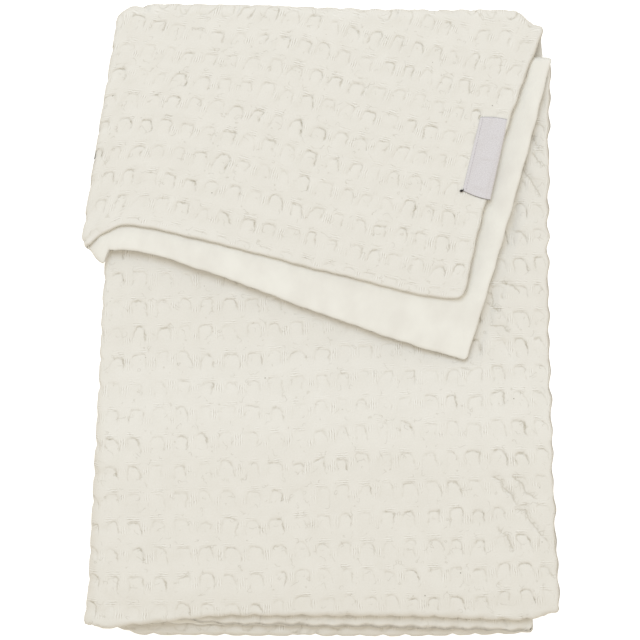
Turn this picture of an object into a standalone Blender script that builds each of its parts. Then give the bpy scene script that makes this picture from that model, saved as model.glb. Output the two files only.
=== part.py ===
"""Folded waffle weave blanket: a puffy waffle face, a smooth lining and a side label.

The blanket is folded as it lies.  Its lower end is tucked in twice, it is then doubled lengthwise
with the waffle outside, and last its upper end is turned over onto the front.  +Y points to the
turned-over end, +Z up, and the back half lies on Z = 0.  Lengths inside are in millimetres.
"""

import math

import bmesh
import bpy
import numpy as np

MM = 0.001

# Cloth: two layers sewn edge to edge, and the height that each further ply adds to the stack.
WAFFLE_THICKNESS = 2.4
LINING_THICKNESS = 1.0
LAYER_GAP = 0.3
PLY_THICKNESS = WAFFLE_THICKNESS + LAYER_GAP + LINING_THICKNESS
PLY_PITCH = 4.6

# Side label, on the turned-over end's open edge.
LABEL_LENGTH = 68.0
LABEL_WIDTH = 20.5
LABEL_THICKNESS = 1.0
LABEL_CENTRE = (134.6, 133.6)
LABEL_LEAN = math.radians(-14.5)

# Where each crosswise line of the cloth lies.  "back" is the half on the surface, whose upper end
# turns over to the very top, and "front" is the half that faces up.  Each row holds the outermost
# x at the lengthwise fold and at the open edge, and y at six stations across.
ACROSS = (0.0, 0.08, 0.30, 0.65, 0.93, 1.0)
CROSS_LINES = {
    # half, line: (x_fold, x_open, y at each station of ACROSS)
    ("back", "hem"): (-195, 119, (56, 76, 67, 38, 20, 17)),
    ("back", "top fold"): (-168, 181, (236, 258, 258, 254, 253, 239)),
    ("back", "bottom fold"): (-191, 175, (-250, -254, -258, -259, -257, -254)),
    ("back", "inner fold"): (-185, 175, (-128, -130, -132, -132, -132, -132)),
    ("back", "inner hem"): (-191, 174, (-244, -248, -250, -251, -252, -252)),
    ("front", "hem"): (-195, 120, (50, 58, 40, 1, -27, -33)),
    ("front", "top fold"): (-168, 189, (231.4, 237, 233, 225, 217, 213)),
    ("front", "bottom fold"): (-191, 195, (-250, -249, -242, -242, -243, -234)),
    ("front", "inner fold"): (-185, 175, (-128, -126, -124, -122, -121, -122)),
    ("front", "inner hem"): (-191, 175, (-244, -243, -249, -251, -254, -255)),
}

# The middle of all that, which comes to the origin.
PLAN_CENTRE = (0.4, -0.6)

# The plies of each half, along the cloth from the turned-over hem to the inner hem.
PLIES = (
    ("hem", "top fold"),
    ("top fold", "bottom fold"),
    ("bottom fold", "inner fold"),
    ("inner fold", "inner hem"),
)
TURNED_END, BODY = 0, 1
ZONES = 2 * len(PLIES) - 1
# Places of those plies in the stack, from 0 on the surface.  The front body lies on the back one,
# and climbs over the four tucked plies, from CLIMB_START to CLIMB_END before their inner fold.
LEVELS = {"back": (3, 0, 1, 2), "front": (2, 1, 4, 3)}
CLIMB_LEVELS = 4
CLIMB_START = 92.0
CLIMB_END = 8.0

# How far the open edge of each ply bows away from a straight line.
EDGE_BOW = {"back": (-6.5, 0, 0, 0), "front": (2.0, -4.5, 0, 0)}

# The back half turns over less sharply than its stack, and its end slopes down to that fold.
BACK_TOP_RADIUS = 5.5
TOP_SLOPE = 0.08

# Fullness of the lengthwise fold on the two plies that face up, over a share of the half's width,
# and how far the turned-over end droops where it overhangs the body.
FOLD_FULLNESS = 4.0
FOLD_FULLNESS_REACH = 0.10
DROOP = 5.0
DROOP_REACH = 26.0

# Mesh divisions: across each half, round the lengthwise fold, and along each ply and fold.  The
# rows are closer together where the turned-over end slopes to its top and where the body climbs.
HALF_COLUMNS = 10
FOLD_COLUMNS = 6
PLY_ROWS = (
    (0.16, 0.32, 0.48, 0.64, 0.8, 0.92, 0.96, 1.0),
    (0.1, 0.2, 0.3, 0.4, 0.5, 0.55, 0.6, 0.65, 0.69, 0.73, 0.81, 0.9, 1.0),
    (0.25, 0.5, 0.75, 1.0),
    (0.25, 0.5, 0.75, 1.0),
)
TURN_ROWS = 5

# Share of the half's width in the lengthwise fold, and small steps for directions and normals.
FOLD_SHARE = 0.02
NEARBY = 0.02
STEP = 1e-4


def smooth(t):
    """Ease from 0 to 1."""
    t = np.clip(t, 0.0, 1.0)
    return t * t * (3.0 - 2.0 * t)


def across_curve(values, a):
    """Smooth curve through the values at the ACROSS stations, read at a, that never overshoots."""
    knots = np.array(ACROSS)
    values = np.array(values, dtype=float)
    rises = np.diff(values) / np.diff(knots)
    before, after = rises[:-1], rises[1:]
    same_way = before * after > 0.0
    inner = np.where(same_way, 2.0 * before * after / np.where(same_way, before + after, 1.0), 0.0)
    slopes = np.concatenate((rises[:1], inner, rises[-1:]))
    i = np.clip(np.searchsorted(knots, a, side="right") - 1, 0, len(knots) - 2)
    width = knots[i + 1] - knots[i]
    t = (a - knots[i]) / width
    start, end = values[i], values[i + 1]
    start_slope, end_slope = slopes[i] * width, slopes[i + 1] * width
    bend = start_slope + end_slope - 2.0 * (end - start)
    return start + t * (start_slope + t * (3.0 * (end - start) - 2.0 * start_slope - end_slope + t * bend))


def fullness(ply, q):
    """How far the lengthwise fold springs open at a place on the two outer plies."""
    if ply == TURNED_END:
        return FOLD_FULLNESS * smooth((1.0 - q) / 0.3)
    return FOLD_FULLNESS * smooth((q - 0.4) / 0.1) * smooth((0.6 - q) / 0.1)


def climb(y, a):
    """Rise of the front body from 0, on one ply, to 1, over the four tucked plies."""
    inner_fold = across_curve(CROSS_LINES["front", "inner fold"][2], a)
    return smooth((inner_fold + CLIMB_START - y) / (CLIMB_START - CLIMB_END))


def fold_radius(ply, q):
    """Radius of the lengthwise fold at a place on a ply, which nests round the plies inside it."""
    if ply == TURNED_END:
        return (PLY_PITCH + fullness(ply, q)) / 2
    if ply == BODY:
        top = CROSS_LINES["front", "top fold"][2][0]
        bottom = CROSS_LINES["front", "bottom fold"][2][0]
        climbed = CLIMB_LEVELS * climb(top + (bottom - top) * q, np.zeros_like(q))
        return (PLY_PITCH * (1.0 + climbed) + fullness(ply, q)) / 2
    return np.full_like(q, PLY_PITCH * (1.0 + CLIMB_LEVELS) / 2)


def top_radius(half, a):
    """Radius of the turned-over end's top fold, tighter on the back half past the corner."""
    if half == "front":
        return np.full_like(a, PLY_PITCH / 2)
    stacked = PLY_PITCH * LEVELS["back"][TURNED_END] / 2
    return stacked + (BACK_TOP_RADIUS - stacked) * smooth((a - 0.08) / 0.15)


def line_point(half, line, a, fold_axis):
    """Plan position of the cloth's centre on a crosswise line, inside the line's outermost edge."""
    x_fold, x_open, ys = CROSS_LINES[half, line]
    x_axis = x_fold + fold_axis
    half_ply = PLY_THICKNESS / 2
    inset = {
        "top fold": -top_radius(half, a) - half_ply,
        "bottom fold": PLY_PITCH / 2 + half_ply,
        "inner fold": -PLY_PITCH / 2 - half_ply,
    }.get(line, 0.0)
    return x_axis + (x_open - x_axis) * a, across_curve(ys, a) + inset


def body_fold_x(y):
    """Outermost x of the body's lengthwise fold beside y."""
    x_top, _, y_top = CROSS_LINES["front", "top fold"]
    x_bottom, _, y_bottom = CROSS_LINES["front", "bottom fold"]
    return x_top + (x_bottom - x_top) * (y_top[0] - y) / (y_top[0] - y_bottom[0])


def ply_point(half, ply, a, q):
    """Centre of the cloth on one ply: a across from the lengthwise fold, q along the ply."""
    start, end = PLIES[ply]
    level = LEVELS[half][ply]
    fold_axis = fold_radius(ply, q) + PLY_THICKNESS / 2
    x0, y0 = line_point(half, start, a, fold_axis)
    x1, y1 = line_point(half, end, a, fold_axis)
    x = x0 + (x1 - x0) * q + EDGE_BOW[half][ply] * 4.0 * q * (1.0 - q) * a
    y = y0 + (y1 - y0) * q
    z = PLY_THICKNESS / 2 + PLY_PITCH * level + np.zeros_like(x)
    if (half, ply) in (("back", TURNED_END), ("front", BODY)):
        z += fullness(ply, q) * smooth(1.0 - a / FOLD_FULLNESS_REACH)
    if (half, ply) == ("front", BODY):
        z += PLY_PITCH * CLIMB_LEVELS * climb(y, a)
    if (half, ply) == ("back", TURNED_END):
        drop = PLY_PITCH * level - 2.0 * top_radius(half, a)
        z -= drop * smooth((q - 1.0 + TOP_SLOPE) / TOP_SLOPE)
    if ply == TURNED_END:
        z -= DROOP * smooth((body_fold_x(y) - x) / DROOP_REACH)
    return x, y, z


def turn_point(half, turn, a, q):
    """Centre of the cloth round the fold between two plies, a half circle that leaves both squarely."""
    start, end = np.zeros_like(q), np.ones_like(q)
    leaving = np.array(ply_point(half, turn, a, end))
    arriving = np.array(ply_point(half, turn + 1, a, start))
    ahead = (leaving - ply_point(half, turn, a, end - NEARBY))[:2]
    behind = (arriving - ply_point(half, turn + 1, a, start + NEARBY))[:2]
    ahead /= np.linalg.norm(ahead, axis=0)
    behind /= np.linalg.norm(behind, axis=0)
    angle = math.pi * q
    point = leaving + (arriving - leaving) * (1.0 - np.cos(angle)) / 2
    radius = np.abs(leaving[2] - arriving[2]) / 2
    point[:2] += (ahead * (1.0 - q) + behind * q) * radius * np.sin(angle)
    return point


def half_point(half, a, s):
    """Centre of one half: a across it and s along it, in zones of ply, turn, ply and so on."""
    zone = np.clip(np.floor(s), 0, ZONES - 1).astype(int)
    q = s - zone
    points = np.zeros((3, s.size))
    for k in range(ZONES):
        here = zone == k
        place = ply_point if k % 2 == 0 else turn_point
        points[:, here] = place(half, k // 2, a[here], q[here])
    return points


def cloth_centre(w, s):
    """Centre of the doubled cloth: w from -1, the back's open edge, to 1, the front's."""
    a = np.clip((np.abs(w) - FOLD_SHARE) / (1.0 - FOLD_SHARE), 0.0, 1.0)
    back, front = half_point("back", a, s), half_point("front", a, s)
    points = np.where(w < 0.0, back, front)
    angle = math.pi * np.clip((w + FOLD_SHARE) / (2.0 * FOLD_SHARE), 0.0, 1.0)
    middle, reach = (back + front) / 2, (back - front) / 2
    bulge = np.maximum(np.abs(reach[2]), PLY_PITCH / 2)
    round_fold = middle + reach * np.cos(angle)
    round_fold[0] -= bulge * np.sin(angle)
    return np.where(np.abs(w) < FOLD_SHARE, round_fold, points)


def cloth_surface(w, s, height):
    """Points of the folded cloth at a height over its centre, towards the waffle side."""
    w0, w1 = np.clip(w - STEP, -1.0, 1.0), np.clip(w + STEP, -1.0, 1.0)
    s0, s1 = np.clip(s - STEP, 0.0, ZONES), np.clip(s + STEP, 0.0, ZONES)
    along_w = cloth_centre(w1, s) - cloth_centre(w0, s)
    along_s = cloth_centre(w, s1) - cloth_centre(w, s0)
    normal = np.cross(along_s.T, along_w.T)
    normal /= np.linalg.norm(normal, axis=1)[:, None]
    return cloth_centre(w, s).T + normal * height - (*PLAN_CENTRE, 0.0)


def column_places():
    """w of each column of the mesh, closer together round the lengthwise fold."""
    ease = [(i / HALF_COLUMNS) ** 1.25 for i in range(1, HALF_COLUMNS + 1)]
    half = [FOLD_SHARE + (1.0 - FOLD_SHARE) * e for e in ease]
    fold = [FOLD_SHARE * (2.0 * i / FOLD_COLUMNS - 1.0) for i in range(FOLD_COLUMNS + 1)]
    return [-w for w in reversed(half)] + fold + half


def row_places():
    """s of each row of the mesh, over the plies and the folds between them."""
    rows = [0.0]
    for ply, shares in enumerate(PLY_ROWS):
        rows += [2 * ply + share for share in shares]
        if ply + 1 < len(PLY_ROWS):
            rows += [2 * ply + 1 + i / TURN_ROWS for i in range(1, TURN_ROWS + 1)]
    return rows


def cloth_layer(name, height, thickness, material, collection):
    """One cloth of the blanket: a flat grid laid along the folds, then given its thickness."""
    columns, rows = column_places(), row_places()
    bm = bmesh.new()
    bmesh.ops.create_grid(bm, x_segments=len(columns) - 1, y_segments=len(rows) - 1, size=0.5)
    across = [round((v.co.x + 0.5) * (len(columns) - 1)) for v in bm.verts]
    along = [round((v.co.y + 0.5) * (len(rows) - 1)) for v in bm.verts]
    w = np.array([columns[i] for i in across])
    s = np.array([rows[i] for i in along])
    for vert, point in zip(bm.verts, cloth_surface(w, s, height)):
        vert.co = point * MM
    return finish_sheet(name, bm, thickness, material, collection)


def finish_sheet(name, bm, thickness, material, collection):
    """Make a named object of an open sheet and give the sheet its thickness."""
    mesh = bpy.data.meshes.new(name)
    bm.to_mesh(mesh)
    bm.free()
    mesh.shade_smooth()
    mesh.materials.append(material)
    sheet = bpy.data.objects.new(name, mesh)
    collection.objects.link(sheet)
    solidify = sheet.modifiers.new("thickness", "SOLIDIFY")
    solidify.thickness = thickness * MM
    solidify.offset = 0.0
    return sheet


def side_label(material, collection):
    """The label: a flat woven strip on the turned-over end, along its open edge."""
    top = PLY_THICKNESS + PLY_PITCH * LEVELS["back"][TURNED_END]
    bm = bmesh.new()
    bmesh.ops.create_grid(bm, x_segments=3, y_segments=8, size=0.5)
    cos, sin = math.cos(LABEL_LEAN), math.sin(LABEL_LEAN)
    for vert in bm.verts:
        x, y = vert.co.x * LABEL_WIDTH, vert.co.y * LABEL_LENGTH
        vert.co.x = (LABEL_CENTRE[0] + x * cos - y * sin) * MM
        vert.co.y = (LABEL_CENTRE[1] + x * sin + y * cos) * MM
        vert.co.z = (top + LAYER_GAP + LABEL_THICKNESS / 2) * MM
    return finish_sheet("side_label", bm, LABEL_THICKNESS, material, collection)


def cloth_material(name, colour, roughness):
    """A plain cloth finish."""
    material = bpy.data.materials.new(name)
    material.use_nodes = True
    shader = material.node_tree.nodes["Principled BSDF"]
    shader.inputs["Base Color"].default_value = (*colour, 1.0)
    shader.inputs["Roughness"].default_value = roughness
    shader.inputs["Metallic"].default_value = 0.0
    material.diffuse_color = (*colour, 1.0)
    return material


def build_blanket():
    """Put the blanket's cloths together in their own collection."""
    for thing in list(bpy.context.scene.objects):
        bpy.data.objects.remove(thing, do_unlink=True)
    blanket = bpy.data.collections.new("waffle weave blanket")
    bpy.context.scene.collection.children.link(blanket)
    waffle = cloth_material("waffle cotton", (0.80, 0.77, 0.68), 0.9)
    plain = cloth_material("plain cotton", (0.83, 0.80, 0.71), 0.85)
    woven = cloth_material("woven label", (0.73, 0.70, 0.72), 0.7)
    half_ply = PLY_THICKNESS / 2
    cloth_layer("waffle_face", half_ply - WAFFLE_THICKNESS / 2, WAFFLE_THICKNESS, waffle, blanket)
    cloth_layer("lining", LINING_THICKNESS / 2 - half_ply, LINING_THICKNESS, plain, blanket)
    side_label(woven, blanket)


build_blanket()
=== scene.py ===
"""Looks of the folded waffle weave blanket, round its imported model.

A crib blanket of two cloths, a puffy waffle weave and a plain lining, sewn edge to edge and turned.
It lies folded: the lower end tucked in twice, then doubled lengthwise with the waffle outside, then
the upper end turned over onto the front.  Sizes are in millimetres until they reach a mesh.
"""

import math

import bpy
import numpy as np
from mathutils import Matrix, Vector
from mathutils.bvhtree import BVHTree


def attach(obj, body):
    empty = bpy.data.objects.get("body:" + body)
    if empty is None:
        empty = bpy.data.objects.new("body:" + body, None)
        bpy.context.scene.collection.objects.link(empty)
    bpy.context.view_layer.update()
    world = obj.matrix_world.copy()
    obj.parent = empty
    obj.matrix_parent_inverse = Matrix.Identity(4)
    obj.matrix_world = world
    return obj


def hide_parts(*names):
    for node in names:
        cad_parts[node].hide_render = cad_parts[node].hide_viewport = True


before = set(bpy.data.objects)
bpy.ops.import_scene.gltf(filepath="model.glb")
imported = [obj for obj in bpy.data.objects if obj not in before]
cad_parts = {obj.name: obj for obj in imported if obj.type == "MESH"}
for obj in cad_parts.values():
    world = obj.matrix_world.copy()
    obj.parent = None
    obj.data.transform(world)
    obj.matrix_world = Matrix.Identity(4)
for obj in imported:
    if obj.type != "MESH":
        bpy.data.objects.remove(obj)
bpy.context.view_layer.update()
bpy.ops.object.select_all(action="DESELECT")


# ---- Waffle face -------------------------------------------------------------------------------
# The outside of the blanket: cotton woven as a waffle, 750 x 1000 mm, sewn to the lining all round.
# Floats of yarn draw the cloth up into puffy ribs round sunken pockets, 18 mm apart across the
# cloth and 23 mm along it.  It is one sheet, laid flat here and then carried round every fold.

MM = 0.001

# Cloth: two layers, and the height that each further ply adds to the stack.
WAFFLE_THICKNESS = 2.4
LINING_THICKNESS = 1.0
LAYER_GAP = 0.3
PLY_THICKNESS = WAFFLE_THICKNESS + LAYER_GAP + LINING_THICKNESS
PLY_PITCH = 4.6

# Where each crosswise line of the cloth lies.  "back" is the half on the surface, whose upper end
# turns over to the very top, and "front" is the half that faces up.  Each row holds the outermost
# x at the lengthwise fold and at the open edge, and y at ten stations across.
ACROSS = (0.0, 0.02, 0.04, 0.055, 0.10, 0.30, 0.65, 0.93, 0.96, 1.0)
CROSS_LINES = {
    # half, line: (x_fold, x_open, y at each station of ACROSS)
    ("back", "hem"):
        (-197, 119, (62, 67.6, 71.3, 72.9, 77.7, 66, 38.5, 18.5, 17.6, 17)),
    ("back", "top fold"):
        (-168, 182, (252.5, 257.5, 259, 259.5, 260.4, 259.5, 256, 255.5, 247.4, 241)),
    ("back", "bottom fold"):
        (-191, 175, (-249, -251.5, -253.5, -255.5, -259, -259.5, -260, -258.5, -257.8, -256.5)),
    ("back", "inner fold"):
        (-185, 175, (-128, -128, -128.5, -129, -130, -132, -132, -132, -132, -132)),
    ("back", "inner hem"):
        (-191, 174, (-244, -245, -245.6, -246, -247.6, -250, -251, -252, -252, -252)),
    ("front", "hem"):
        (-197, 120, (58.6, 50, 46.5, 57.8, 57.8, 41.5, 1.8, -27, -29.5, -33)),
    ("front", "top fold"):
        (-168, 189.5, (241.4, 240.5, 239.6, 239, 236.6, 233, 225, 217, 216.6, 216)),
    ("front", "bottom fold"):
        (-192.5, 196, (-251, -253.5, -252, -251, -249.2, -242.2, -242.8, -246, -242.8, -239)),
    ("front", "inner fold"):
        (-185, 175, (-128, -128, -127.4, -127, -126.2, -124, -122, -121, -121.4, -122)),
    ("front", "inner hem"):
        (-191, 175, (-244, -244, -243.6, -243.5, -243.5, -249, -251.5, -254.5, -255, -255.5)),
}
PLAN_CENTRE = (0.4, -0.6)

# The plies of each half, along the cloth from the turned-over hem to the inner hem, and their
# places in the stack.  The front body climbs over the four tucked plies.
PLIES = (
    ("hem", "top fold"),
    ("top fold", "bottom fold"),
    ("bottom fold", "inner fold"),
    ("inner fold", "inner hem"),
)
TURNED_END, BODY = 0, 1
ZONES = 2 * len(PLIES) - 1
LEVELS = {"back": (3, 0, 1, 2), "front": (2, 1, 4, 3)}
CLIMB_LEVELS = 4
CLIMB_START = 112.0
CLIMB_END = 8.0

# How far the open edge of each ply bows away from a straight line.
EDGE_BOW = {"back": (-6.5, 0, 0, 0), "front": (2.0, -4.5, 0, 0)}
# How sharply the back half turns over, past its corner, and the share of the ply that slopes to it.
BACK_TOP_RADIUS = 6.4
TOP_CORNER, TOP_CORNER_FADE = 0.08, 0.15
TOP_SLOPE = 0.12
# The springy fullness of the lengthwise fold, its reach across, and the shares of the turned-over
# end and of the body where it springs open.
FOLD_FULLNESS, FOLD_FULLNESS_REACH = 1.5, 0.05
TURNED_END_SPRING = 0.3
BODY_SPRING, BODY_SPRING_FADE = (0.4, 0.6), 0.1
# The droop of the overhanging end.
DROOP, DROOP_REACH = 2.5, 20.0
# The stack is pressed thinner towards its lower folds, by this share within this reach, and so
# spreads at the end of the lengthwise fold.
LOW_SQUEEZE, LOW_REACH = 0.10, 24.0
LOW_SPREAD, LOW_SPREAD_ACROSS = 3.2, 0.30
# The turned-over end springs up from the cloth under it: along the lining's hem and open edge, and
# along the open edge of the back half above them.  The lift fades towards the top fold.
HEM_LIFT = (0.0, 1.0, 2.5, 3.4, 4.8, 4.8, 3.6, 3.2, 3.2, 3.2)
HEM_LIFT_REACH = 42.0
EDGE_LIFT, EDGE_LIFT_REACH = 3.4, 16.0
UPPER_EDGE_LIFT, UPPER_EDGE_LIFT_REACH = 2.2, 14.0
LIFT_FADE = 40.0
# The lower end of its lengthwise fold is rounded.
FOLD_END_INSET, FOLD_END_REACH, FOLD_END_ACROSS = 3.5, 9.0, 0.10
# The lengthwise fold's share of each half, and the steps over which the cloth's directions are read.
FOLD_SHARE = 0.02
NEARBY = 0.02
STEP = 1e-4


def smooth(t):
    """Ease from 0 to 1."""
    t = np.clip(t, 0.0, 1.0)
    return t * t * (3.0 - 2.0 * t)


def across_curve(values, a):
    """Smooth curve through the values at the ACROSS stations, read at a, that never overshoots."""
    knots = np.array(ACROSS)
    values = np.array(values, dtype=float)
    rises = np.diff(values) / np.diff(knots)
    before, after = rises[:-1], rises[1:]
    same_way = before * after > 0.0
    inner = np.where(same_way, 2.0 * before * after / np.where(same_way, before + after, 1.0), 0.0)
    slopes = np.concatenate((rises[:1], inner, rises[-1:]))
    i = np.clip(np.searchsorted(knots, a, side="right") - 1, 0, len(knots) - 2)
    width = knots[i + 1] - knots[i]
    t = (a - knots[i]) / width
    start, end = values[i], values[i + 1]
    start_slope, end_slope = slopes[i] * width, slopes[i + 1] * width
    bend = start_slope + end_slope - 2.0 * (end - start)
    return start + t * (start_slope + t * (3.0 * (end - start) - 2.0 * start_slope - end_slope + t * bend))


def fullness(ply, q):
    """How far the lengthwise fold springs open at a place on the two outer plies."""
    if ply == TURNED_END:
        return FOLD_FULLNESS * smooth((1.0 - q) / TURNED_END_SPRING)
    start, end = BODY_SPRING
    return FOLD_FULLNESS * smooth((q - start) / BODY_SPRING_FADE) * smooth((end - q) / BODY_SPRING_FADE)


def climb(y, a):
    """Rise of the front body from 0, on one ply, to 1, over the four tucked plies."""
    inner_fold = across_curve(CROSS_LINES["front", "inner fold"][2], a)
    return smooth((inner_fold + CLIMB_START - y) / (CLIMB_START - CLIMB_END))


def fold_radius(ply, q):
    """Radius of the lengthwise fold at a place on a ply, which nests round the plies inside it."""
    if ply == TURNED_END:
        return (PLY_PITCH + fullness(ply, q)) / 2
    if ply == BODY:
        top = CROSS_LINES["front", "top fold"][2][0]
        bottom = CROSS_LINES["front", "bottom fold"][2][0]
        climbed = CLIMB_LEVELS * climb(top + (bottom - top) * q, np.zeros_like(q))
        return (PLY_PITCH * (1.0 + climbed) + fullness(ply, q)) / 2
    return np.full_like(q, PLY_PITCH * (1.0 + CLIMB_LEVELS) / 2)


def top_radius(half, a):
    """Radius of the turned-over end's top fold, tighter on the back half past the corner."""
    if half == "front":
        return np.full_like(a, PLY_PITCH / 2)
    stacked = PLY_PITCH * LEVELS["back"][TURNED_END] / 2
    return stacked + (BACK_TOP_RADIUS - stacked) * smooth((a - TOP_CORNER) / TOP_CORNER_FADE)


def line_point(half, line, a, fold_axis):
    """Plan position of the cloth's centre on a crosswise line, inside the line's outermost edge."""
    x_fold, x_open, ys = CROSS_LINES[half, line]
    x_axis = x_fold + fold_axis
    half_ply = PLY_THICKNESS / 2
    inset = {
        "top fold": -top_radius(half, a) - half_ply,
        "bottom fold": PLY_PITCH / 2 + half_ply,
        "inner fold": -PLY_PITCH / 2 - half_ply,
    }.get(line, 0.0)
    return x_axis + (x_open - x_axis) * a, across_curve(ys, a) + inset


def body_fold_x(y):
    """Outermost x of the body's lengthwise fold beside y."""
    x_top, _, y_top = CROSS_LINES["front", "top fold"]
    x_bottom, _, y_bottom = CROSS_LINES["front", "bottom fold"]
    return x_top + (x_bottom - x_top) * (y_top[0] - y) / (y_top[0] - y_bottom[0])


def turned_lift(half, a, x, y):
    """How far a place on the turned-over end is lifted by the spring of its hem and edges."""
    x_fold, x_open, hem = CROSS_LINES["front", "hem"]
    _, x_top, top = CROSS_LINES["front", "top fold"]
    across = np.clip((x - x_fold) / (x_open - x_fold), 0.0, 1.0)
    edge_x = x_open + (x_top - x_open) * (y - hem[-1]) / (top[-1] - hem[-1])
    from_hem = y - across_curve(hem, across)
    at_hem = across_curve(HEM_LIFT, across) * smooth(1.0 - from_hem / HEM_LIFT_REACH)
    at_edge = EDGE_LIFT * smooth(1.0 - (edge_x - x) / EDGE_LIFT_REACH)
    lift = np.maximum(at_hem, at_edge)
    if half == "back":
        own_width = CROSS_LINES["back", "hem"][1] - CROSS_LINES["back", "hem"][0]
        lift += UPPER_EDGE_LIFT * smooth(1.0 - (1.0 - a) * own_width / UPPER_EDGE_LIFT_REACH)
    return lift * smooth((top[-1] - y) / LIFT_FADE)


def ply_point(half, ply, a, q):
    """Centre of the cloth on one ply: a across from the lengthwise fold, q along the ply."""
    start, end = PLIES[ply]
    level = LEVELS[half][ply]
    fold_axis = fold_radius(ply, q) + PLY_THICKNESS / 2
    x0, y0 = line_point(half, start, a, fold_axis)
    x1, y1 = line_point(half, end, a, fold_axis)
    x = x0 + (x1 - x0) * q + EDGE_BOW[half][ply] * 4.0 * q * (1.0 - q) * a
    y = y0 + (y1 - y0) * q
    y_low = CROSS_LINES["front", "bottom fold"][2][-2]
    z = PLY_THICKNESS / 2 + PLY_PITCH * level + np.zeros_like(x)
    if (half, ply) in (("back", TURNED_END), ("front", BODY)):
        z += fullness(ply, q) * smooth(1.0 - a / FOLD_FULLNESS_REACH)
    if (half, ply) == ("front", BODY):
        z += PLY_PITCH * CLIMB_LEVELS * climb(y, a)
    if (half, ply) == ("back", TURNED_END):
        drop = PLY_PITCH * level - 2.0 * top_radius(half, a)
        z -= drop * smooth((q - 1.0 + TOP_SLOPE) / TOP_SLOPE)
    if ply > TURNED_END:
        low = smooth(1.0 - (y - y_low) / LOW_REACH)
        z *= 1.0 - LOW_SQUEEZE * low
        x -= LOW_SPREAD * low * smooth(1.0 - a / LOW_SPREAD_ACROSS)
    if ply == TURNED_END:
        z -= DROOP * smooth((body_fold_x(y) - x) / DROOP_REACH)
        z += turned_lift(half, a, x, y)
        at_end = smooth(1.0 - (y - y0) / FOLD_END_REACH)
        x += FOLD_END_INSET * at_end * smooth(1.0 - a / FOLD_END_ACROSS)
    return x, y, z


def turn_point(half, turn, a, q):
    """Centre of the cloth round the fold between two plies, a half circle that leaves both squarely."""
    start, end = np.zeros_like(q), np.ones_like(q)
    leaving = np.array(ply_point(half, turn, a, end))
    arriving = np.array(ply_point(half, turn + 1, a, start))
    ahead = (leaving - ply_point(half, turn, a, end - NEARBY))[:2]
    behind = (arriving - ply_point(half, turn + 1, a, start + NEARBY))[:2]
    ahead /= np.linalg.norm(ahead, axis=0)
    behind /= np.linalg.norm(behind, axis=0)
    angle = math.pi * q
    point = leaving + (arriving - leaving) * (1.0 - np.cos(angle)) / 2
    radius = np.abs(leaving[2] - arriving[2]) / 2
    point[:2] += (ahead * (1.0 - q) + behind * q) * radius * np.sin(angle)
    return point


def half_point(half, a, s):
    """Centre of one half: a across it and s along it, in zones of ply, turn, ply and so on."""
    zone = np.clip(np.floor(s), 0, ZONES - 1).astype(int)
    q = s - zone
    points = np.zeros((3, s.size))
    for k in range(ZONES):
        here = zone == k
        place = ply_point if k % 2 == 0 else turn_point
        points[:, here] = place(half, k // 2, a[here], q[here])
    return points


def cloth_centre(w, s):
    """Centre of the doubled cloth: w from -1, the back's open edge, to 1, the front's."""
    a = np.clip((np.abs(w) - FOLD_SHARE) / (1.0 - FOLD_SHARE), 0.0, 1.0)
    back, front = half_point("back", a, s), half_point("front", a, s)
    points = np.where(w < 0.0, back, front)
    angle = math.pi * np.clip((w + FOLD_SHARE) / (2.0 * FOLD_SHARE), 0.0, 1.0)
    middle, reach = (back + front) / 2, (back - front) / 2
    bulge = np.maximum(np.abs(reach[2]), PLY_PITCH / 2)
    round_fold = middle + reach * np.cos(angle)
    round_fold[0] -= bulge * np.sin(angle)
    return np.where(np.abs(w) < FOLD_SHARE, round_fold, points)


def cloth_frame(w, s):
    """Centre of the folded cloth, and its directions across, along and up towards the waffle."""
    w0, w1 = np.clip(w - STEP, -1.0, 1.0), np.clip(w + STEP, -1.0, 1.0)
    s0, s1 = np.clip(s - STEP, 0.0, ZONES), np.clip(s + STEP, 0.0, ZONES)
    across = (cloth_centre(w1, s) - cloth_centre(w0, s)).T
    along = (cloth_centre(w, s1) - cloth_centre(w, s0)).T
    up = np.cross(along, across)
    across, along, up = (d / np.linalg.norm(d, axis=1)[:, None] for d in (across, along, up))
    return cloth_centre(w, s).T - (*PLAN_CENTRE, 0.0), across, along, up


# The weave's own cells, counted from the back's open edge and from the hem: 41 across the cloth
# and 42 along it.  Their number on each ply comes from the pockets seen there.
COLUMNS, ROWS = 41, 42
CELL_WIDTH, CELL_LENGTH = 18.3, 22.9
TURNED_ROWS = (8.35, 8.5, 8.62, 8.7, 8.87, 9.15, 10.15, 11.0, 10.9, 10.6)
HEM_LINE_OF_ROWS = (75, 75, 75.6, 76, 76, 67, 38, 20, 18.7, 17)
HEM_DRAG_ROWS = 3.0
TOP_FOLD_ROWS, LOW_FOLD_ROWS, TUCKED_ROWS = 0.75, 0.5, 5.2
# How far the rows of the body rise from the fold to the open edge, high and low on the body.
ROW_RISE_TOP = (0, 0, 0, 0, 0, 1.6, 9.8, 13.0, 12.4, 11.5)
ROW_RISE_LOW = (0, 0, 0, 0, 0, 2.5, 10.5, 12.5, 12.0, 11.0)
# The column of the weave that runs along the lengthwise fold, counted from the cloth's middle.
FOLD_COLUMN_ROWS = (0, 8.8, 13, 30.5, 36, 42)
FOLD_COLUMNS = (-2.45, -0.8, 0.75, -0.6, 0, 0)
# How much further out than its centre the cloth runs round that fold.
FOLD_EASE = 1.0
# Rounding of the cloth's own corners, at the hem and at the tucked end of each half.
CORNER_ROUNDING = {"back hem": 12.0, "front hem": 5.0, "inner": 8.0}


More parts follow.
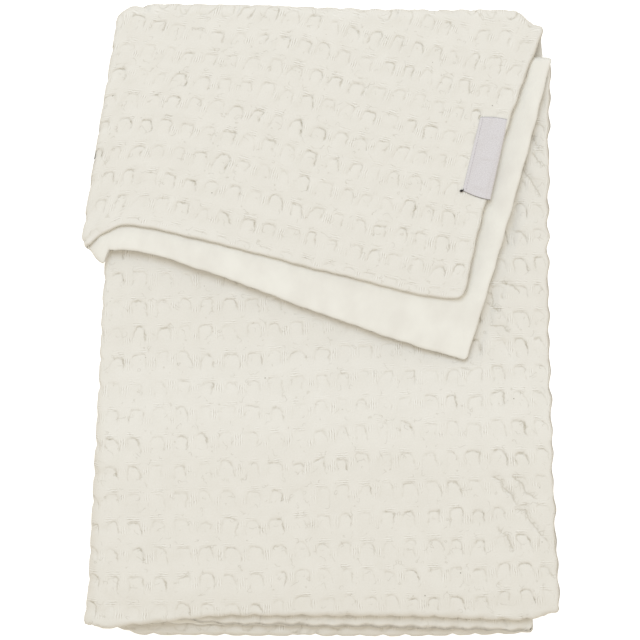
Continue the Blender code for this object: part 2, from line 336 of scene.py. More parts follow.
def row_marks(half, a):
    """Row of the weave at each change between plies and folds, from the hem to the inner hem."""
    top, low = CROSS_LINES["front", "top fold"][2], CROSS_LINES["front", "bottom fold"][2]
    first = TURNED_ROWS[0]
    if half == "front":
        rise_top, rise_low = across_curve(ROW_RISE_TOP, a), across_curve(ROW_RISE_LOW, a)
        turned = first + (top[0] - across_curve(top, a) + rise_top) / CELL_LENGTH
        body = first + (top[0] - across_curve(low, a) + rise_low) / CELL_LENGTH
    else:
        turned = across_curve(TURNED_ROWS, a)
        body = first + (top[0] - low[0]) / CELL_LENGTH + 0.0 * a
    body = body + TOP_FOLD_ROWS
    inner = body + LOW_FOLD_ROWS + TUCKED_ROWS
    marks = (0.0 * a, turned, turned + TOP_FOLD_ROWS, body, body + LOW_FOLD_ROWS, inner,
             inner + LOW_FOLD_ROWS, ROWS + 0.0 * a)
    return np.array(marks)


def fold_arc_columns(row):
    """Columns of the weave that the lengthwise fold takes up beside a row of its left edge."""
    marks = row_marks("front", np.zeros(1))[:, 0]
    s = np.interp(row, marks, np.arange(ZONES + 1))
    radius = np.zeros_like(row)
    for ply in range(len(PLIES)):
        q = np.clip(s - 2 * ply, 0.0, 1.0)
        radius = np.where(s >= 2 * ply - 0.5, fold_radius(ply, q), radius)
    return math.pi * (radius + FOLD_EASE) / CELL_WIDTH


def folds_place(column, row):
    """Place on the folded cloth, as w and s, of a place in the weave."""
    middle = COLUMNS / 2
    x, y = column * CELL_WIDTH, row * CELL_LENGTH
    width, length = COLUMNS * CELL_WIDTH, ROWS * CELL_LENGTH
    corners = (
        (0.0, 0.0, CORNER_ROUNDING["back hem"]),
        (width, 0.0, CORNER_ROUNDING["front hem"]),
        (0.0, length, CORNER_ROUNDING["inner"]),
        (width, length, CORNER_ROUNDING["inner"]),
    )
    for x_corner, y_corner, radius in corners:
        in_x, in_y = abs(x - x_corner) / radius, abs(y - y_corner) / radius
        near = (in_x < 1.0) & (in_y < 1.0)
        out_x, out_y = np.clip(1.0 - in_x, 0.0, 1.0), np.clip(1.0 - in_y, 0.0, 1.0)
        round_x = radius * (1.0 - out_x * np.sqrt(1.0 - out_y ** 2 / 2))
        round_y = radius * (1.0 - out_y * np.sqrt(1.0 - out_x ** 2 / 2))
        x = np.where(near, x_corner + np.where(x_corner > 0, -round_x, round_x), x)
        y = np.where(near, y_corner + np.where(y_corner > 0, -round_y, round_y), y)
    column, row = x / CELL_WIDTH - middle, y / CELL_LENGTH
    fold_column = np.interp(row, FOLD_COLUMN_ROWS, FOLD_COLUMNS)
    half_arc = fold_arc_columns(row) / 2
    past = column - fold_column
    room = np.where(past < 0.0, middle + fold_column, middle - fold_column)
    beyond = np.clip((np.abs(past) - half_arc) / (room - half_arc), 0.0, 1.0)
    share = np.where(
        np.abs(past) < half_arc,
        FOLD_SHARE * np.abs(past) / half_arc,
        FOLD_SHARE + (1.0 - FOLD_SHARE) * beyond,
    )
    w = np.sign(past) * share
    s = np.zeros_like(w)
    for half, here in (("back", w < 0.0), ("front", w >= 0.0)):
        marks = row_marks(half, beyond[here])
        v = row[here]
        k = np.clip((v[None, :] >= marks).sum(axis=0) - 1, 0, ZONES - 1)
        at = np.arange(v.size)
        start, end = marks[k, at], marks[k + 1, at]
        q = np.clip((v - start) / (end - start), 0.0, 1.0)
        hem, top = (across_curve(CROSS_LINES[half, line][2], beyond[here]) for line in PLIES[TURNED_END])
        straight = across_curve(HEM_LINE_OF_ROWS, beyond[here]) if half == "back" else hem
        dragged = straight + (top - straight) * q + (hem - straight) * (1.0 - smooth(v / HEM_DRAG_ROWS))
        q = np.where(k == TURNED_END, np.clip((dragged - hem) / (top - hem), 0.0, 1.0), q)
        s[here] = k + q
    return w, s


# One cell of the weave: where its mesh lines lie, closest together along the edge of its pocket.
FINEST = 12
LINES_ACROSS = (-0.5, -0.40, -0.326, -0.284, -0.242, -0.15, 0.0, 0.15, 0.242, 0.284, 0.326, 0.40, 0.5)
LINES_ALONG = (-0.5, -0.38, -0.28, -0.22, -0.14, -0.04, 0.06, 0.14, 0.212, 0.25, 0.288, 0.36, 0.5)
POCKET_HALF_WIDTH, POCKET_TOP, POCKET_FOOT = 5.2, 5.7, -5.0
POCKET_DEPTH = 1.0
GROOVE_OUTSIDE, GROOVE_INSIDE = 0.75, 1.0
OUTLINE_REACH = 2.6
EDGE_ROLL = 3.0
# The body is stretched flatter than the turned-over end, but for its open edge.
BODY_CALM = 0.32
TURNED_OVER_ROWS = 10
# How far the cells lie from even places along the cloth, and how far those of the front half do
# across it, from the pockets seen there.
SHIFTED_ROWS = (0.0, 0.8, 3.0, 5.5, 8.0, 10.5, 12.5, 24.0, 28.0, 31.0, 42.0)
ROW_SHIFTS = (0.0, 0.42, 0.42, 0.32, 0.25, 0.22, 0.36, 0.36, 0.22, 0.15, 0.0)
FRONT_COLUMN_SHIFT, FRONT_SHIFT_FROM, FRONT_SHIFT_FADE = 0.18, 1.0, 3.0
# How far pockets near the body's open edge lean with the folding, and the column and row from which
# they do.
EDGE_DRAG = 0.55
DRAG_COLUMN, DRAG_COLUMN_FADE = 36.5, 3.0
DRAG_ROW, DRAG_ROW_FADE = 9.0, 2.0
# How far the legs of the arches splay and curl, below the crown and away from the middle.
SPLAY, SPLAY_TOP, SPLAY_FADE, SPLAY_ASIDE = 1.4, 0.2, 0.45, 0.25
CURLS = 1.7
# The drifts of the whole weave: each the size of its bumps in cells, its reach both ways and its
# seed.  The cells along the cloth's edges stay even.
DRIFTS = ((0.42, 0.05, 0.04, 25), (1.7, 0.10, 0.09, 21), (5.0, 0.12, 0.12, 23))
EVEN_EDGE = 1.5
# A cell is counted to the turned-over end up to this far past its middle.
TURN_LEEWAY = 0.2
# The range of each number that every cell has for itself.
CELL_RANGES = {
    "wide": (0.62, 1.12),
    "tall": (0.68, 1.1),
    "aside": (-0.08, 0.08),
    "up": (-0.07, 0.07),
    "lean": (-0.3, 0.3),
    "tilt": (-0.2, 0.2),
    "deep": (0.2, 1.0),
    # The legs: how deep each is drawn and how dark its painted crevice shade is, more on the right, the side
    # turned from the light.
    "left leg": (0.0, 0.75),
    "right leg": (0.55, 1.6),
    "left flare": (-0.05, 0.11),
    "right flare": (-0.05, 0.11),
    "left curl": (-0.04, 0.04),
    "right curl": (-0.04, 0.04),
    "corner": (2.4, 5.4),
    "dome": (0.0, 0.9),
    "left foot": (-0.5, 0.9),
    "right foot": (-0.5, 0.9),
    "lip": (0.2, 0.75),
    "rib": (0.1, 0.8),
    "band": (0.0, 0.6),
    "notch": (0.4, 1.15),
}
weave_dice = np.random.default_rng(11)
CELL = {name: weave_dice.uniform(*ends, (ROWS, COLUMNS)) for name, ends in CELL_RANGES.items()}
# The back half is seen the other way round, so its left is towards its higher columns.
CELL["rightward"] = np.where(np.arange(COLUMNS) < COLUMNS // 2, -1.0, 1.0) * np.ones((ROWS, 1))
# The drifts are read from a grid of this many random values each way.
DRIFT_GRID = 110


def wander(column, row, spacing, seed):
    """Slow uneven drift over the cloth, from -1 to 1, with bumps a few cells apart."""
    grid = np.random.default_rng(seed).uniform(-1.0, 1.0, (DRIFT_GRID, DRIFT_GRID))
    x, y = column / spacing + 1.0, row / spacing + 1.0
    i, j = np.floor(x).astype(int), np.floor(y).astype(int)
    tx, ty = smooth(x - i), smooth(y - j)
    low = grid[j, i] * (1 - tx) + grid[j, i + 1] * tx
    high = grid[j + 1, i] * (1 - tx) + grid[j + 1, i + 1] * tx
    return low * (1 - ty) + high * ty


def rows_turned_over(i):
    """Rows of the weave from the hem to the top fold in each column of cells."""
    beyond = np.abs(i + 0.5 - COLUMNS / 2) / (COLUMNS / 2)
    return np.where(i < COLUMNS / 2, row_marks("back", beyond)[1], row_marks("front", beyond)[1])


def cell_place(across, along):
    """Cell of each mesh point, its place in the cell, and the way that is up in the cell: towards
    the hem on the body, and away from it on the turned-over end."""
    i, j = np.minimum(across // FINEST, COLUMNS - 1), np.minimum(along // FINEST, ROWS - 1)
    upward = np.where(j + TURN_LEEWAY < rows_turned_over(i), 1, -1)
    k = along - j * FINEST
    p = np.array(LINES_ACROSS)[across - i * FINEST]
    q = np.array(LINES_ALONG)[np.where(upward > 0, k, FINEST - k)]
    return i, j, p, q, upward


def weave_place(across, along):
    """Column and row of each mesh point, with the weave's unevenness, and its place in its cell."""
    i, j, p, q, upward = cell_place(across, along)
    own = {name: values[j, i] for name, values in CELL.items()}
    room = (1.0 - (2.0 * p) ** 2) * (1.0 - (2.0 * q) ** 2)
    drag = EDGE_DRAG * smooth((i - DRAG_COLUMN) / DRAG_COLUMN_FADE) * smooth((j - DRAG_ROW) / DRAG_ROW_FADE)
    flare = np.where(p < 0.0, -own["left flare"], own["right flare"]) * smooth((SPLAY_TOP - q) / SPLAY_FADE)
    curl = np.where(p < 0.0, own["left curl"], own["right curl"]) * np.sin(2.0 * math.pi * CURLS * q)
    splay = SPLAY * (flare + curl) * smooth(np.abs(p) / SPLAY_ASIDE)
    sideways = own["aside"] + p * (own["wide"] - 1.0) + q * (own["lean"] - drag) + splay
    endways = own["up"] + q * (own["tall"] - 1.0) + p * own["tilt"]
    column = i + 0.5 + p + room * sideways
    row = j + 0.5 + upward * (q + room * endways)
    drift_x, drift_y = np.zeros(len(column)), np.zeros(len(row))
    for size, reach_x, reach_y, seed in DRIFTS:
        drift_x += reach_x * wander(column, row, size, seed)
        drift_y += reach_y * wander(column, row, size, seed + 1)
    drift_x += FRONT_COLUMN_SHIFT * smooth((column - COLUMNS / 2 - FRONT_SHIFT_FROM) / FRONT_SHIFT_FADE)
    inside_x = smooth(np.minimum(column, COLUMNS - column) / EVEN_EDGE)
    inside_y = smooth(np.minimum(row, ROWS - row) / EVEN_EDGE)
    shifted = row + drift_y * inside_y - np.interp(row, SHIFTED_ROWS, ROW_SHIFTS)
    return column + drift_x * inside_x, shifted, p, q, own


def mound(distance, reach):
    """A smooth mound of height 1 that falls away over the given reach."""
    return np.exp(-((distance / reach) ** 2))


# The arch of a pocket: how far past its foot and its top the cloth is drawn in, where its legs leave
# its crown, and the tucks at its feet.
ARCH_FOOT, ARCH_FOOT_FADE = 3.2, 6.5
ARCH_TOP, ARCH_TOP_FADE = 4.6, 2.4
LEG_TOP, LEG_FADE, LEG_ASIDE = 0.24, 0.1, 0.25
FOOT_TUCK, FOOT_REACH = 0.6, 1.5


def pocket_outline(p, q, own):
    """Distance of a place in a cell from its pocket's arch, less inside it, and how strongly the
    cloth is drawn in there, which also sets how dark its painted crevice shade is: the arch fades
    towards its open foot, and often keeps only one leg."""
    x, y = p * CELL_WIDTH, q * CELL_LENGTH
    corner_x = np.abs(x) - (POCKET_HALF_WIDTH - own["corner"])
    corner_y = y - (POCKET_TOP - own["corner"])
    out = np.hypot(np.maximum(corner_x, 0.0), np.maximum(corner_y, 0.0))
    away = out + np.minimum(np.maximum(corner_x, corner_y), 0.0) - own["corner"]
    leg = np.where(p * own["rightward"] < 0.0, own["left leg"], own["right leg"])
    strength = smooth((y - POCKET_FOOT + ARCH_FOOT) / ARCH_FOOT_FADE)
    strength *= smooth((POCKET_TOP + ARCH_TOP - y) / ARCH_TOP_FADE) * own["deep"]
    strength *= 1.0 + (leg - 1.0) * smooth((LEG_TOP - q) / LEG_FADE) * smooth(np.abs(p) / LEG_ASIDE)
    for side, name in ((-1.0, "left foot"), (1.0, "right foot")):
        near = np.hypot(x - side * POCKET_HALF_WIDTH, y - POCKET_FOOT)
        strength += FOOT_TUCK * np.maximum(own[name], 0.0) * mound(near, FOOT_REACH)
    return away, strength


# A pocket's floor as shares of its depth: at the foot, and added from the middle up to the crown.
FLOOR_FOOT, FLOOR_CROWN, FLOOR_RISE = 0.05, 0.4, (-0.25, 0.5)
DOME = 0.6


def pocket_depth(away, strength, q, own):
    """How far the cloth sinks at a place in a cell: an arched groove round a softly domed pocket."""
    floor = FLOOR_FOOT + FLOOR_CROWN * smooth((q - FLOOR_RISE[0]) / FLOOR_RISE[1])
    floor *= 1.0 - DOME * own["dome"]
    inner = floor + (1.0 - floor) * mound(away, GROOVE_INSIDE)
    return POCKET_DEPTH * np.where(away < 0.0, inner, mound(away, GROOVE_OUTSIDE)) * strength


# The puffy ribs: their height in millimetres, and their reach and the fade of their ends in cells.
RIB_HEIGHT, RIB_REACH, RIB_HALF_LENGTH, RIB_FADE = 0.7, 0.15, 0.12, 0.22
BAND_HEIGHT, BAND_REACH = 0.35, 0.16
LIP_PLACE, LIP_REACH, LIP_HALF_WIDTH, LIP_FADE = 0.325, 0.045, 0.34, 0.12


def rib_swell(p, q, own):
    """How far the puffy ribs stand above the cloth: upright ones by the pockets, bands between rows,
    and a lip over each arch."""
    upright = mound(np.abs(p) - 0.5, RIB_REACH) * (1.0 - smooth((np.abs(q) - RIB_HALF_LENGTH) / RIB_FADE))
    band = mound(np.abs(q) - 0.5, BAND_REACH)
    lip = mound(q - LIP_PLACE, LIP_REACH) * smooth((LIP_HALF_WIDTH - np.abs(p)) / LIP_FADE)
    return RIB_HEIGHT * own["rib"] * upright + BAND_HEIGHT * own["band"] * band + own["lip"] * lip


# Round a fold the ribs spread and the pockets close to notches: those across the fold's own line
# show as a scalloped edge.  The folds at the two ends lie in the middle of zones 1 and 3.
NOTCH_DEPTH, NOTCH_REACH = 1.7, 0.17
TOP_NOTCH, TOP_FOLD, LOW_FOLD, FOLD_REACH = 0.5, 1.5, 3.5, 0.5
SIDE_NOTCH, SIDE_NOTCH_REACH = 0.8, 0.03
TUCKED_NOTCH, TUCKED_NOTCH_FADE = 6.6, 0.3


def fold_notch(w, s, p, q, own):
    """How far the pockets sink as notches where the cloth turns: at its ends and inner hem, and
    down the side of its lengthwise fold."""
    at_ends = TOP_NOTCH * mound(s - TOP_FOLD, FOLD_REACH) + mound(s - LOW_FOLD, FOLD_REACH)
    at_ends += smooth((s - TUCKED_NOTCH) / TUCKED_NOTCH_FADE)
    across_end = at_ends * mound(p, NOTCH_REACH)
    along_side = SIDE_NOTCH * mound(w, SIDE_NOTCH_REACH) * mound(q, NOTCH_REACH)
    return NOTCH_DEPTH * own["notch"] * np.maximum(across_end, along_side)


# Creases that the folding dragged into the cloth: each a soft trough between two points of the
# plan, with its width and depth.  The first few are hollows beside the lining's edge.
CREASES = (
    # x0, y0, x1, y1, width, depth
    (161, 97, 154, 62, 4.5, 2.6),
    (144, 26, 136, -2, 3.5, 2.0),
    (134.5, -7, 129.5, -27, 3.0, 1.8),
    (139, -4, 158, -28, 4.0, 1.6),
    (148, -38, 159, -52, 3.5, 1.2),
    (166, -38, 183, -56, 3.5, 1.3),
    (-178, -222, -170, -234, 3.0, 1.2),
)
# How dark the painted shade along the sharper creases is, and those creases, whose cloth closes
# over a thin crevice.
SHARP_CREASE_SHADE = 0.85
SHARP_CREASES = (
    # x0, y0, x1, y1, width, depth
    (171, 157, 179, 142, 1.9, 2.0),
    (163.5, 127.5, 173, 116, 1.9, 2.1),
    (173, 116, 180, 104, 1.9, 2.0),
    (175, 137, 181, 129, 1.6, 1.2),
    (146.5, 32.5, 157.5, 29.5, 1.8, 1.4),
    (157.5, 29.5, 163, 24.5, 1.8, 1.4),
    (137.5, 14.5, 146, 8.5, 1.8, 1.4),
    (140.5, 23, 142, 14, 1.6, 1.2),
    (141, -3.7, 150, -3.7, 1.9, 1.2),
    (150, -3.7, 154.3, -9, 1.9, 1.6),
    (141, -127, 148.8, -131.4, 2.0, 1.5),
    (148.8, -131.4, 149.6, -136.5, 2.0, 1.9),
    (149.6, -136.5, 156.3, -141.6, 2.0, 1.9),
    (156.3, -141.6, 159.7, -148.4, 2.0, 1.5),
    (158, -128, 165.7, -133.1, 1.9, 1.3),
    (165.7, -133.1, 167.3, -140, 2.0, 1.9),
    (167.3, -140, 176, -144.5, 1.9, 1.4),
    (161.4, -154.3, 168.2, -154.6, 1.9, 1.3),
    (168.2, -154.6, 169.8, -161.1, 2.0, 1.9),
    (169.8, -161.1, 180.8, -174.6, 2.0, 1.8),
    (146.2, -170.4, 152.9, -176.3, 1.9, 1.5),
    (152.9, -176.3, 157.2, -186.4, 2.0, 1.6),
)
# The painted crevice shade of the pockets' own outlines fades out this far beside such a crease.
# A crease is shallower at its ends, by this share of its depth, and keeps level in the last part
# of its length.
CREASE_CLEAR = 2.5
CREASE_TAPER, CREASE_END = 0.4, 0.05
FAR_AWAY = 1e3


def crease_depth(points, up, creases):
    """How deep the creases are at each point that faces up, and its distance from the nearest one,
    less than nothing on that one's left."""
    depth, nearest = np.zeros(len(points)), np.full(len(points), FAR_AWAY)
    for x0, y0, x1, y1, width, sink in creases:
        start, line = np.array((x0, y0)), np.array((x1 - x0, y1 - y0))
        beside = points[:, :2] - start
        t = np.clip(beside @ line / (line @ line), 0.0, 1.0)
        away = np.linalg.norm(beside - t[:, None] * line, axis=1)
        arch = np.sin(math.pi * np.clip(t, CREASE_END, 1.0 - CREASE_END))
        taper = 1.0 - CREASE_TAPER * (1.0 - arch)
        depth = np.maximum(depth, sink * taper * mound(away, width))
        signed = np.copysign(away, line[1] * beside[:, 0] - line[0] * beside[:, 1])
        nearest = np.where(away < np.abs(nearest), signed, nearest)
    return depth * smooth(up[:, 2]), nearest


def edge_distance(column, row):
    """Distance of a place in the weave from the cloth's edge."""
    x = np.minimum(column, COLUMNS - column) * CELL_WIDTH
    y = np.minimum(row, ROWS - row) * CELL_LENGTH
    return np.minimum(x, y)


# The scalloped edges: how wide a band of cells swings, how far it swings with the cells and at
# random, and the spacing in cells and the seed of the latter.  Open edges swing less on the
# turned-over end, and the tucked hem more than the outer one.
SIDE_BAND, SIDE_SWING, SIDE_WANDER, SIDE_BUMPS = 0.6, 0.8, 0.9, (0.45, 31)
HEM_BAND, HEM_SWING, HEM_WANDER, HEM_BUMPS = 0.5, 0.15, 0.45, (0.8, 32)
TURNED_OVER_SWING, TURNED_OVER_FADE = 0.3, 2.0
TUCKED_SWING, TUCKED_FADE = 3.5, 5.0


def scalloped(column, row, across, along):
    """How the ribs push the cloth's edges in and out, more at the open edges than at the hems."""
    at_side = smooth(1.0 - np.minimum(column, COLUMNS - column) / SIDE_BAND)
    at_hem = smooth(1.0 - np.minimum(row, ROWS - row) / HEM_BAND)
    on_body = smooth((row - TURNED_OVER_ROWS) / TURNED_OVER_FADE)
    tucked = smooth((row - ROWS / 2) / TUCKED_FADE)
    swing_x = SIDE_SWING * np.cos(2.0 * math.pi * row) + SIDE_WANDER * wander(column, row, *SIDE_BUMPS)
    swing_x *= at_side * (TURNED_OVER_SWING + (1.0 - TURNED_OVER_SWING) * on_body)
    swing_y = HEM_SWING * (1.0 + TUCKED_SWING * tucked) * np.cos(2.0 * math.pi * column)
    swing_y = at_hem * (swing_y + HEM_WANDER * wander(column, row, *HEM_BUMPS))
    out_x = np.where(column < COLUMNS / 2, -swing_x, swing_x)
    out_y = np.where(row < ROWS / 2, -swing_y, swing_y)
    return across * out_x[:, None] + along * out_y[:, None]


# The weave lies calmer near the cloth's edges and above the hem.  The body's calm sets in just below
# the turned-over rows and ends short of the open edge.
CALM_EDGE = 9.0
CALM_HEM, CALM_HEM_ROWS = 0.6, 0.4
BODY_FIRST_ROW, BODY_ROWS_FADE = 9.0, 2.0
BODY_LAST_COLUMN, BODY_COLUMNS_FADE = 38.0, 5.0
# The painted crevice shade is this much fainter on the body.
BODY_FAINTER_SHADE = 0.12
# The cloth's rim lies this far below the middle of the ply.
RIM_DROP = 0.2
# What the finish reads at each point, beside its place in the weave.
FINISH_VALUES = ("outline", "strength", "crease_shade", "upright", "over")
# Where the floats lie in a cell: upright ones beside the pocket, and level ones over its arch.
UPRIGHT_FROM, UPRIGHT_FADE = 0.31, 0.08
UPRIGHT_MIDDLE, UPRIGHT_HALF_LENGTH, UPRIGHT_END = -0.02, 0.14, 0.14
OVER_HALF_WIDTH, OVER_FADE = 0.36, 0.1
OVER_FROM, OVER_FROM_FADE, OVER_TO, OVER_TO_FADE = 0.24, 0.06, 0.46, 0.08


def waffle_points(across, along):
    """Points of the waffle's outer surface, with what its finish reads at each point."""
    column, row, p, q, own = weave_place(across, along)
    w, s = folds_place(column, row)
    centre, to_side, to_end, up = cloth_frame(w, s)
    edge = edge_distance(column, row)
    calm = smooth(edge / CALM_EDGE) * (1.0 - CALM_HEM * smooth((1.0 - row) / CALM_HEM_ROWS))
    away, strength = pocket_outline(p, q, own)
    on_body = smooth((row - BODY_FIRST_ROW) / BODY_ROWS_FADE)
    on_body *= smooth((BODY_LAST_COLUMN - column) / BODY_COLUMNS_FADE)
    relief = calm * (1.0 - BODY_CALM * on_body)
    sink = pocket_depth(away, strength, q, own) * relief + fold_notch(w, s, p, q, own)
    swell = rib_swell(p, q, own) * relief
    roll = np.sqrt(1.0 - (1.0 - np.clip(edge / EDGE_ROLL, 0.0, 1.0)) ** 2)
    height = (PLY_THICKNESS / 2 + RIM_DROP) * roll - RIM_DROP - (sink - swell) * roll
    points = centre + up * height[:, None] + scalloped(column, row, to_side, to_end)
    hollow, _ = crease_depth(points, up, CREASES)
    sharp, from_crease = crease_depth(points, up, SHARP_CREASES)
    points[:, 2] = np.maximum(points[:, 2] - np.maximum(hollow, sharp), 0.0)
    # Beside a sharp crease its painted shade takes the place of the pocket's own outline, which fades out.
    beside = np.where(up[:, 2] > 0.0, np.abs(from_crease) - OUTLINE_REACH, CREASE_CLEAR)
    away = np.where(beside < 0.0, from_crease, away)
    strength = strength * smooth(beside / CREASE_CLEAR)
    beside_pocket = smooth((np.abs(p) - UPRIGHT_FROM) / UPRIGHT_FADE)
    past_end = smooth((np.abs(q - UPRIGHT_MIDDLE) - UPRIGHT_HALF_LENGTH) / UPRIGHT_END)
    over_arch = smooth((q - OVER_FROM) / OVER_FROM_FADE) * smooth((OVER_TO - q) / OVER_TO_FADE)
    # What the finish reads: where the painted crevice shade lies round the pockets and along the sharp
    # creases, and where the floats lie, which carry painted highlights.
    drawn = {
        "column": column,
        "row": row,
        "outline": np.clip(away, -OUTLINE_REACH, OUTLINE_REACH) * MM,
        "strength": strength * calm * (1.0 - BODY_FAINTER_SHADE * on_body),
        "crease_shade": SHARP_CREASE_SHADE * smooth(-beside),
        "upright": beside_pocket * (1.0 - past_end),
        "over": smooth((OVER_HALF_WIDTH - np.abs(p)) / OVER_FADE) * over_arch,
    }
    return points, drawn


# Mesh steps by stretches of the cloth, of which later rows win.  The limits of w run across it, and
# those of s count its plies and turns from the outer hem.  Some hold only under the turned-over end.
HIDDEN_STEP = 6
MESH_STRETCHES = (
    # w from, w to, s from, s to, mesh step, covered only
    (-2.0, 2.0, 0.8, 4.2, 3, False),      # all folds at the two ends
    (-2.0, -0.06, 2.05, 2.95, 6, False),  # the underside
    (-0.02, 2.0, 1.0, 4.1, 1, False),     # the body
    (-0.02, 2.0, 1.0, 2.1, 3, True),      # its covered fold
    (-0.02, 2.0, 2.1, 4.1, 6, True),      # its covered upper part
    (-2.0, 0.06, -1.0, 2.0, 1, False),    # the turned-over end
    (-2.0, 2.0, 6.85, 8.0, 1, False),     # the tucked hem
    (-2.0, 0.0, 2.95, 3.7, 1, False),     # the back half's lower fold
)
# How far inside the turned-over end's hem and open edge the cells under it count as covered, the
# slope of that edge, and the share of the width beside the lengthwise fold that never does.
HEM_COVER, EDGE_COVER = 16.0, 14.0
EDGE_SLOPE = 0.262
FOLD_UNCOVERED = 0.05


def cell_steps():
    """Mesh steps of each cell: fine where the blanket shows from above, coarse where it is hidden."""
    rows, columns = np.mgrid[0:ROWS, 0:COLUMNS]
    w, s = folds_place(columns.ravel() + 0.5, rows.ravel() + 0.5)
    x, y, _ = cloth_frame(w, s)[0].T
    hem_x, hem_open, hem_y = CROSS_LINES["front", "hem"]
    hem_line = across_curve(hem_y, np.clip((x - hem_x) / (hem_open - hem_x), 0.0, 1.0))
    edge_line = hem_open + (y - hem_y[-1]) * EDGE_SLOPE
    covered = (y > hem_line + HEM_COVER) & (x < edge_line - EDGE_COVER) & (w > FOLD_UNCOVERED)
    steps = np.full(len(x), HIDDEN_STEP)
    for w_from, w_to, s_from, s_to, step, covered_only in MESH_STRETCHES:
        here = (w > w_from) & (w < w_to) & (s > s_from) & (s < s_to)
        steps[here & covered if covered_only else here] = step
    return steps.reshape(ROWS, COLUMNS)


def used_places(steps):
    """Which places of the finest grid the cells' own steps use."""
    used = np.zeros((ROWS * FINEST + 1, COLUMNS * FINEST + 1), dtype=bool)
    for j in range(ROWS):
        for i in range(COLUMNS):
            step = steps[j, i]
            block = used[j * FINEST:(j + 1) * FINEST + 1, i * FINEST:(i + 1) * FINEST + 1]
            block[::step, ::step] = True
    return used


def cell_faces(steps, used, number):
    """Faces of every cell; a coarse face also takes in the points of a finer neighbour's edge."""
    faces = []
    for j in range(ROWS):
        for i in range(COLUMNS):
            step = steps[j, i]
            for y in range(j * FINEST, (j + 1) * FINEST, step):
                for x in range(i * FINEST, (i + 1) * FINEST, step):
                    ring = [(x + k, y) for k in range(step)]
                    ring += [(x + step, y + k) for k in range(step)]
                    ring += [(x + step - k, y + step) for k in range(step)]
                    ring += [(x, y + step - k) for k in range(step)]
                    faces.append([number[v, u] for u, v in ring if used[v, u]])
    return faces


def new_object(name, data):
    """An object of the given mesh, curve, lamp or camera, in the scene."""
    made = bpy.data.objects.new(name, data)
    bpy.context.scene.collection.objects.link(made)
    return made


def cloth_mesh(name, outer_steps, inner_steps, outer, inner):
    """A closed sheet: an outer and an inner net of the same cloth that share their rim."""
    outer_used, inner_used = used_places(outer_steps), used_places(inner_steps)
    rim = np.zeros_like(outer_used)
    rim[0, :] = rim[-1, :] = rim[:, 0] = rim[:, -1] = True
    outer_used |= inner_used & rim
    inner_used = (inner_used & ~rim) | (outer_used & rim)
    outer_number = np.full(outer_used.shape, -1)
    along, across = np.nonzero(outer_used)
    outer_number[along, across] = np.arange(len(along))
    inner_number = np.where(rim, outer_number, -1)
    inner_along, inner_across = np.nonzero(inner_used & ~rim)
    inner_number[inner_along, inner_across] = len(along) + np.arange(len(inner_along))
    outer_points = outer(across, along)
    inner_points = inner(inner_across, inner_along)
    faces = [list(reversed(f)) for f in cell_faces(outer_steps, outer_used, outer_number)]
    faces += cell_faces(inner_steps, inner_used, inner_number)
    mesh = bpy.data.meshes.new(name)
    mesh.from_pydata(np.concatenate((outer_points[0], inner_points[0])) * MM, [], faces)
    mesh.shade_smooth()
    values = {}
    for key in outer_points[1]:
        values[key] = np.concatenate((outer_points[1][key], inner_points[1][key]))
    uv = np.stack((values.pop("column") * CELL_WIDTH, values.pop("row") * CELL_LENGTH), axis=1) * MM
    loops = np.zeros(len(mesh.loops), dtype=np.int32)
    mesh.loops.foreach_get("vertex_index", loops)
    layer = mesh.uv_layers.new(name="cloth")
    layer.data.foreach_set("uv", uv[loops].astype(np.float32).ravel())
    for key, amounts in values.items():
        attribute = mesh.attributes.new(key, "FLOAT", "POINT")
        attribute.data.foreach_set("value", amounts.astype(np.float32))
    mesh.update()
    return new_object(name, mesh)


def waffle_inner(across, along):
    """The back of the waffle, flat against the lining."""
    column, row = across / FINEST, along / FINEST
    w, s = folds_place(column, row)
    centre, _, _, up = cloth_frame(w, s)
    height = PLY_THICKNESS / 2 - WAFFLE_THICKNESS
    points = centre + up * height
    points[:, 2] = np.maximum(points[:, 2], 0.0)
    plain = {name: np.zeros(len(column)) for name in FINISH_VALUES}
    return points, {"column": column, "row": row, **plain}


# The hidden side's mesh: the step where it bends, and the share of the width that the lengthwise
# fold's bend takes.
BENT_STEP, BENT_SHARE = 3, 0.08


def inner_steps():
    """Mesh steps of the hidden side: one face a cell, more where the cloth folds or springs up."""
    steps = np.full((ROWS, COLUMNS), FINEST)
    rows, columns = np.mgrid[0:ROWS, 0:COLUMNS]
    w, s = folds_place(columns.ravel() + 0.5, rows.ravel() + 0.5)
    bends = (np.floor(s) % 2 == 1) | (np.abs(w) < BENT_SHARE)
    steps[bends.reshape(ROWS, COLUMNS)] = BENT_STEP
    steps[:2, :] = BENT_STEP
    steps[:TURNED_OVER_ROWS, :2] = steps[:TURNED_OVER_ROWS, -2:] = BENT_STEP
    return steps


waffle = cloth_mesh("waffle_cotton_face", cell_steps(), inner_steps(), waffle_points, waffle_inner)
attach(waffle, "root")
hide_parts("waffle_face")


def linear(hex_colour):
    """A colour written as sRGB hex, as linear values with alpha."""
    parts = [int(hex_colour[k:k + 2], 16) / 255 for k in (1, 3, 5)]
    return (*(c / 12.92 if c <= 0.04045 else ((c + 0.055) / 1.055) ** 2.4 for c in parts), 1.0)


def add_node(tree, kind, inputs=(), output=0, **settings):
    """Add a node with its settings, and its inputs by name or number as values or as links, and
    give back one of its outputs."""
    made = tree.nodes.new("ShaderNode" + kind)
    for key, value in settings.items():
        setattr(made, key, value)
    for key, value in dict(inputs).items():
        if isinstance(value, bpy.types.NodeSocket):
            tree.links.new(value, made.inputs[key])
        else:
            made.inputs[key].default_value = value
    return made.outputs[output]


def cloth_material(piece, name, roughness, sheen):
    """Give a piece a cloth material with only its shader's own values set, and give back its nodes."""
    material = bpy.data.materials.new(name)
    material.use_nodes = True
    shader = material.node_tree.nodes["Principled BSDF"]
    shader.inputs["Roughness"].default_value = roughness
    shader.inputs["Specular IOR Level"].default_value = 0.2
    shader.inputs["Sheen Weight"].default_value = sheen
    shader.inputs["Sheen Roughness"].default_value = 0.6
    piece.data.materials.append(material)
    return material.node_tree


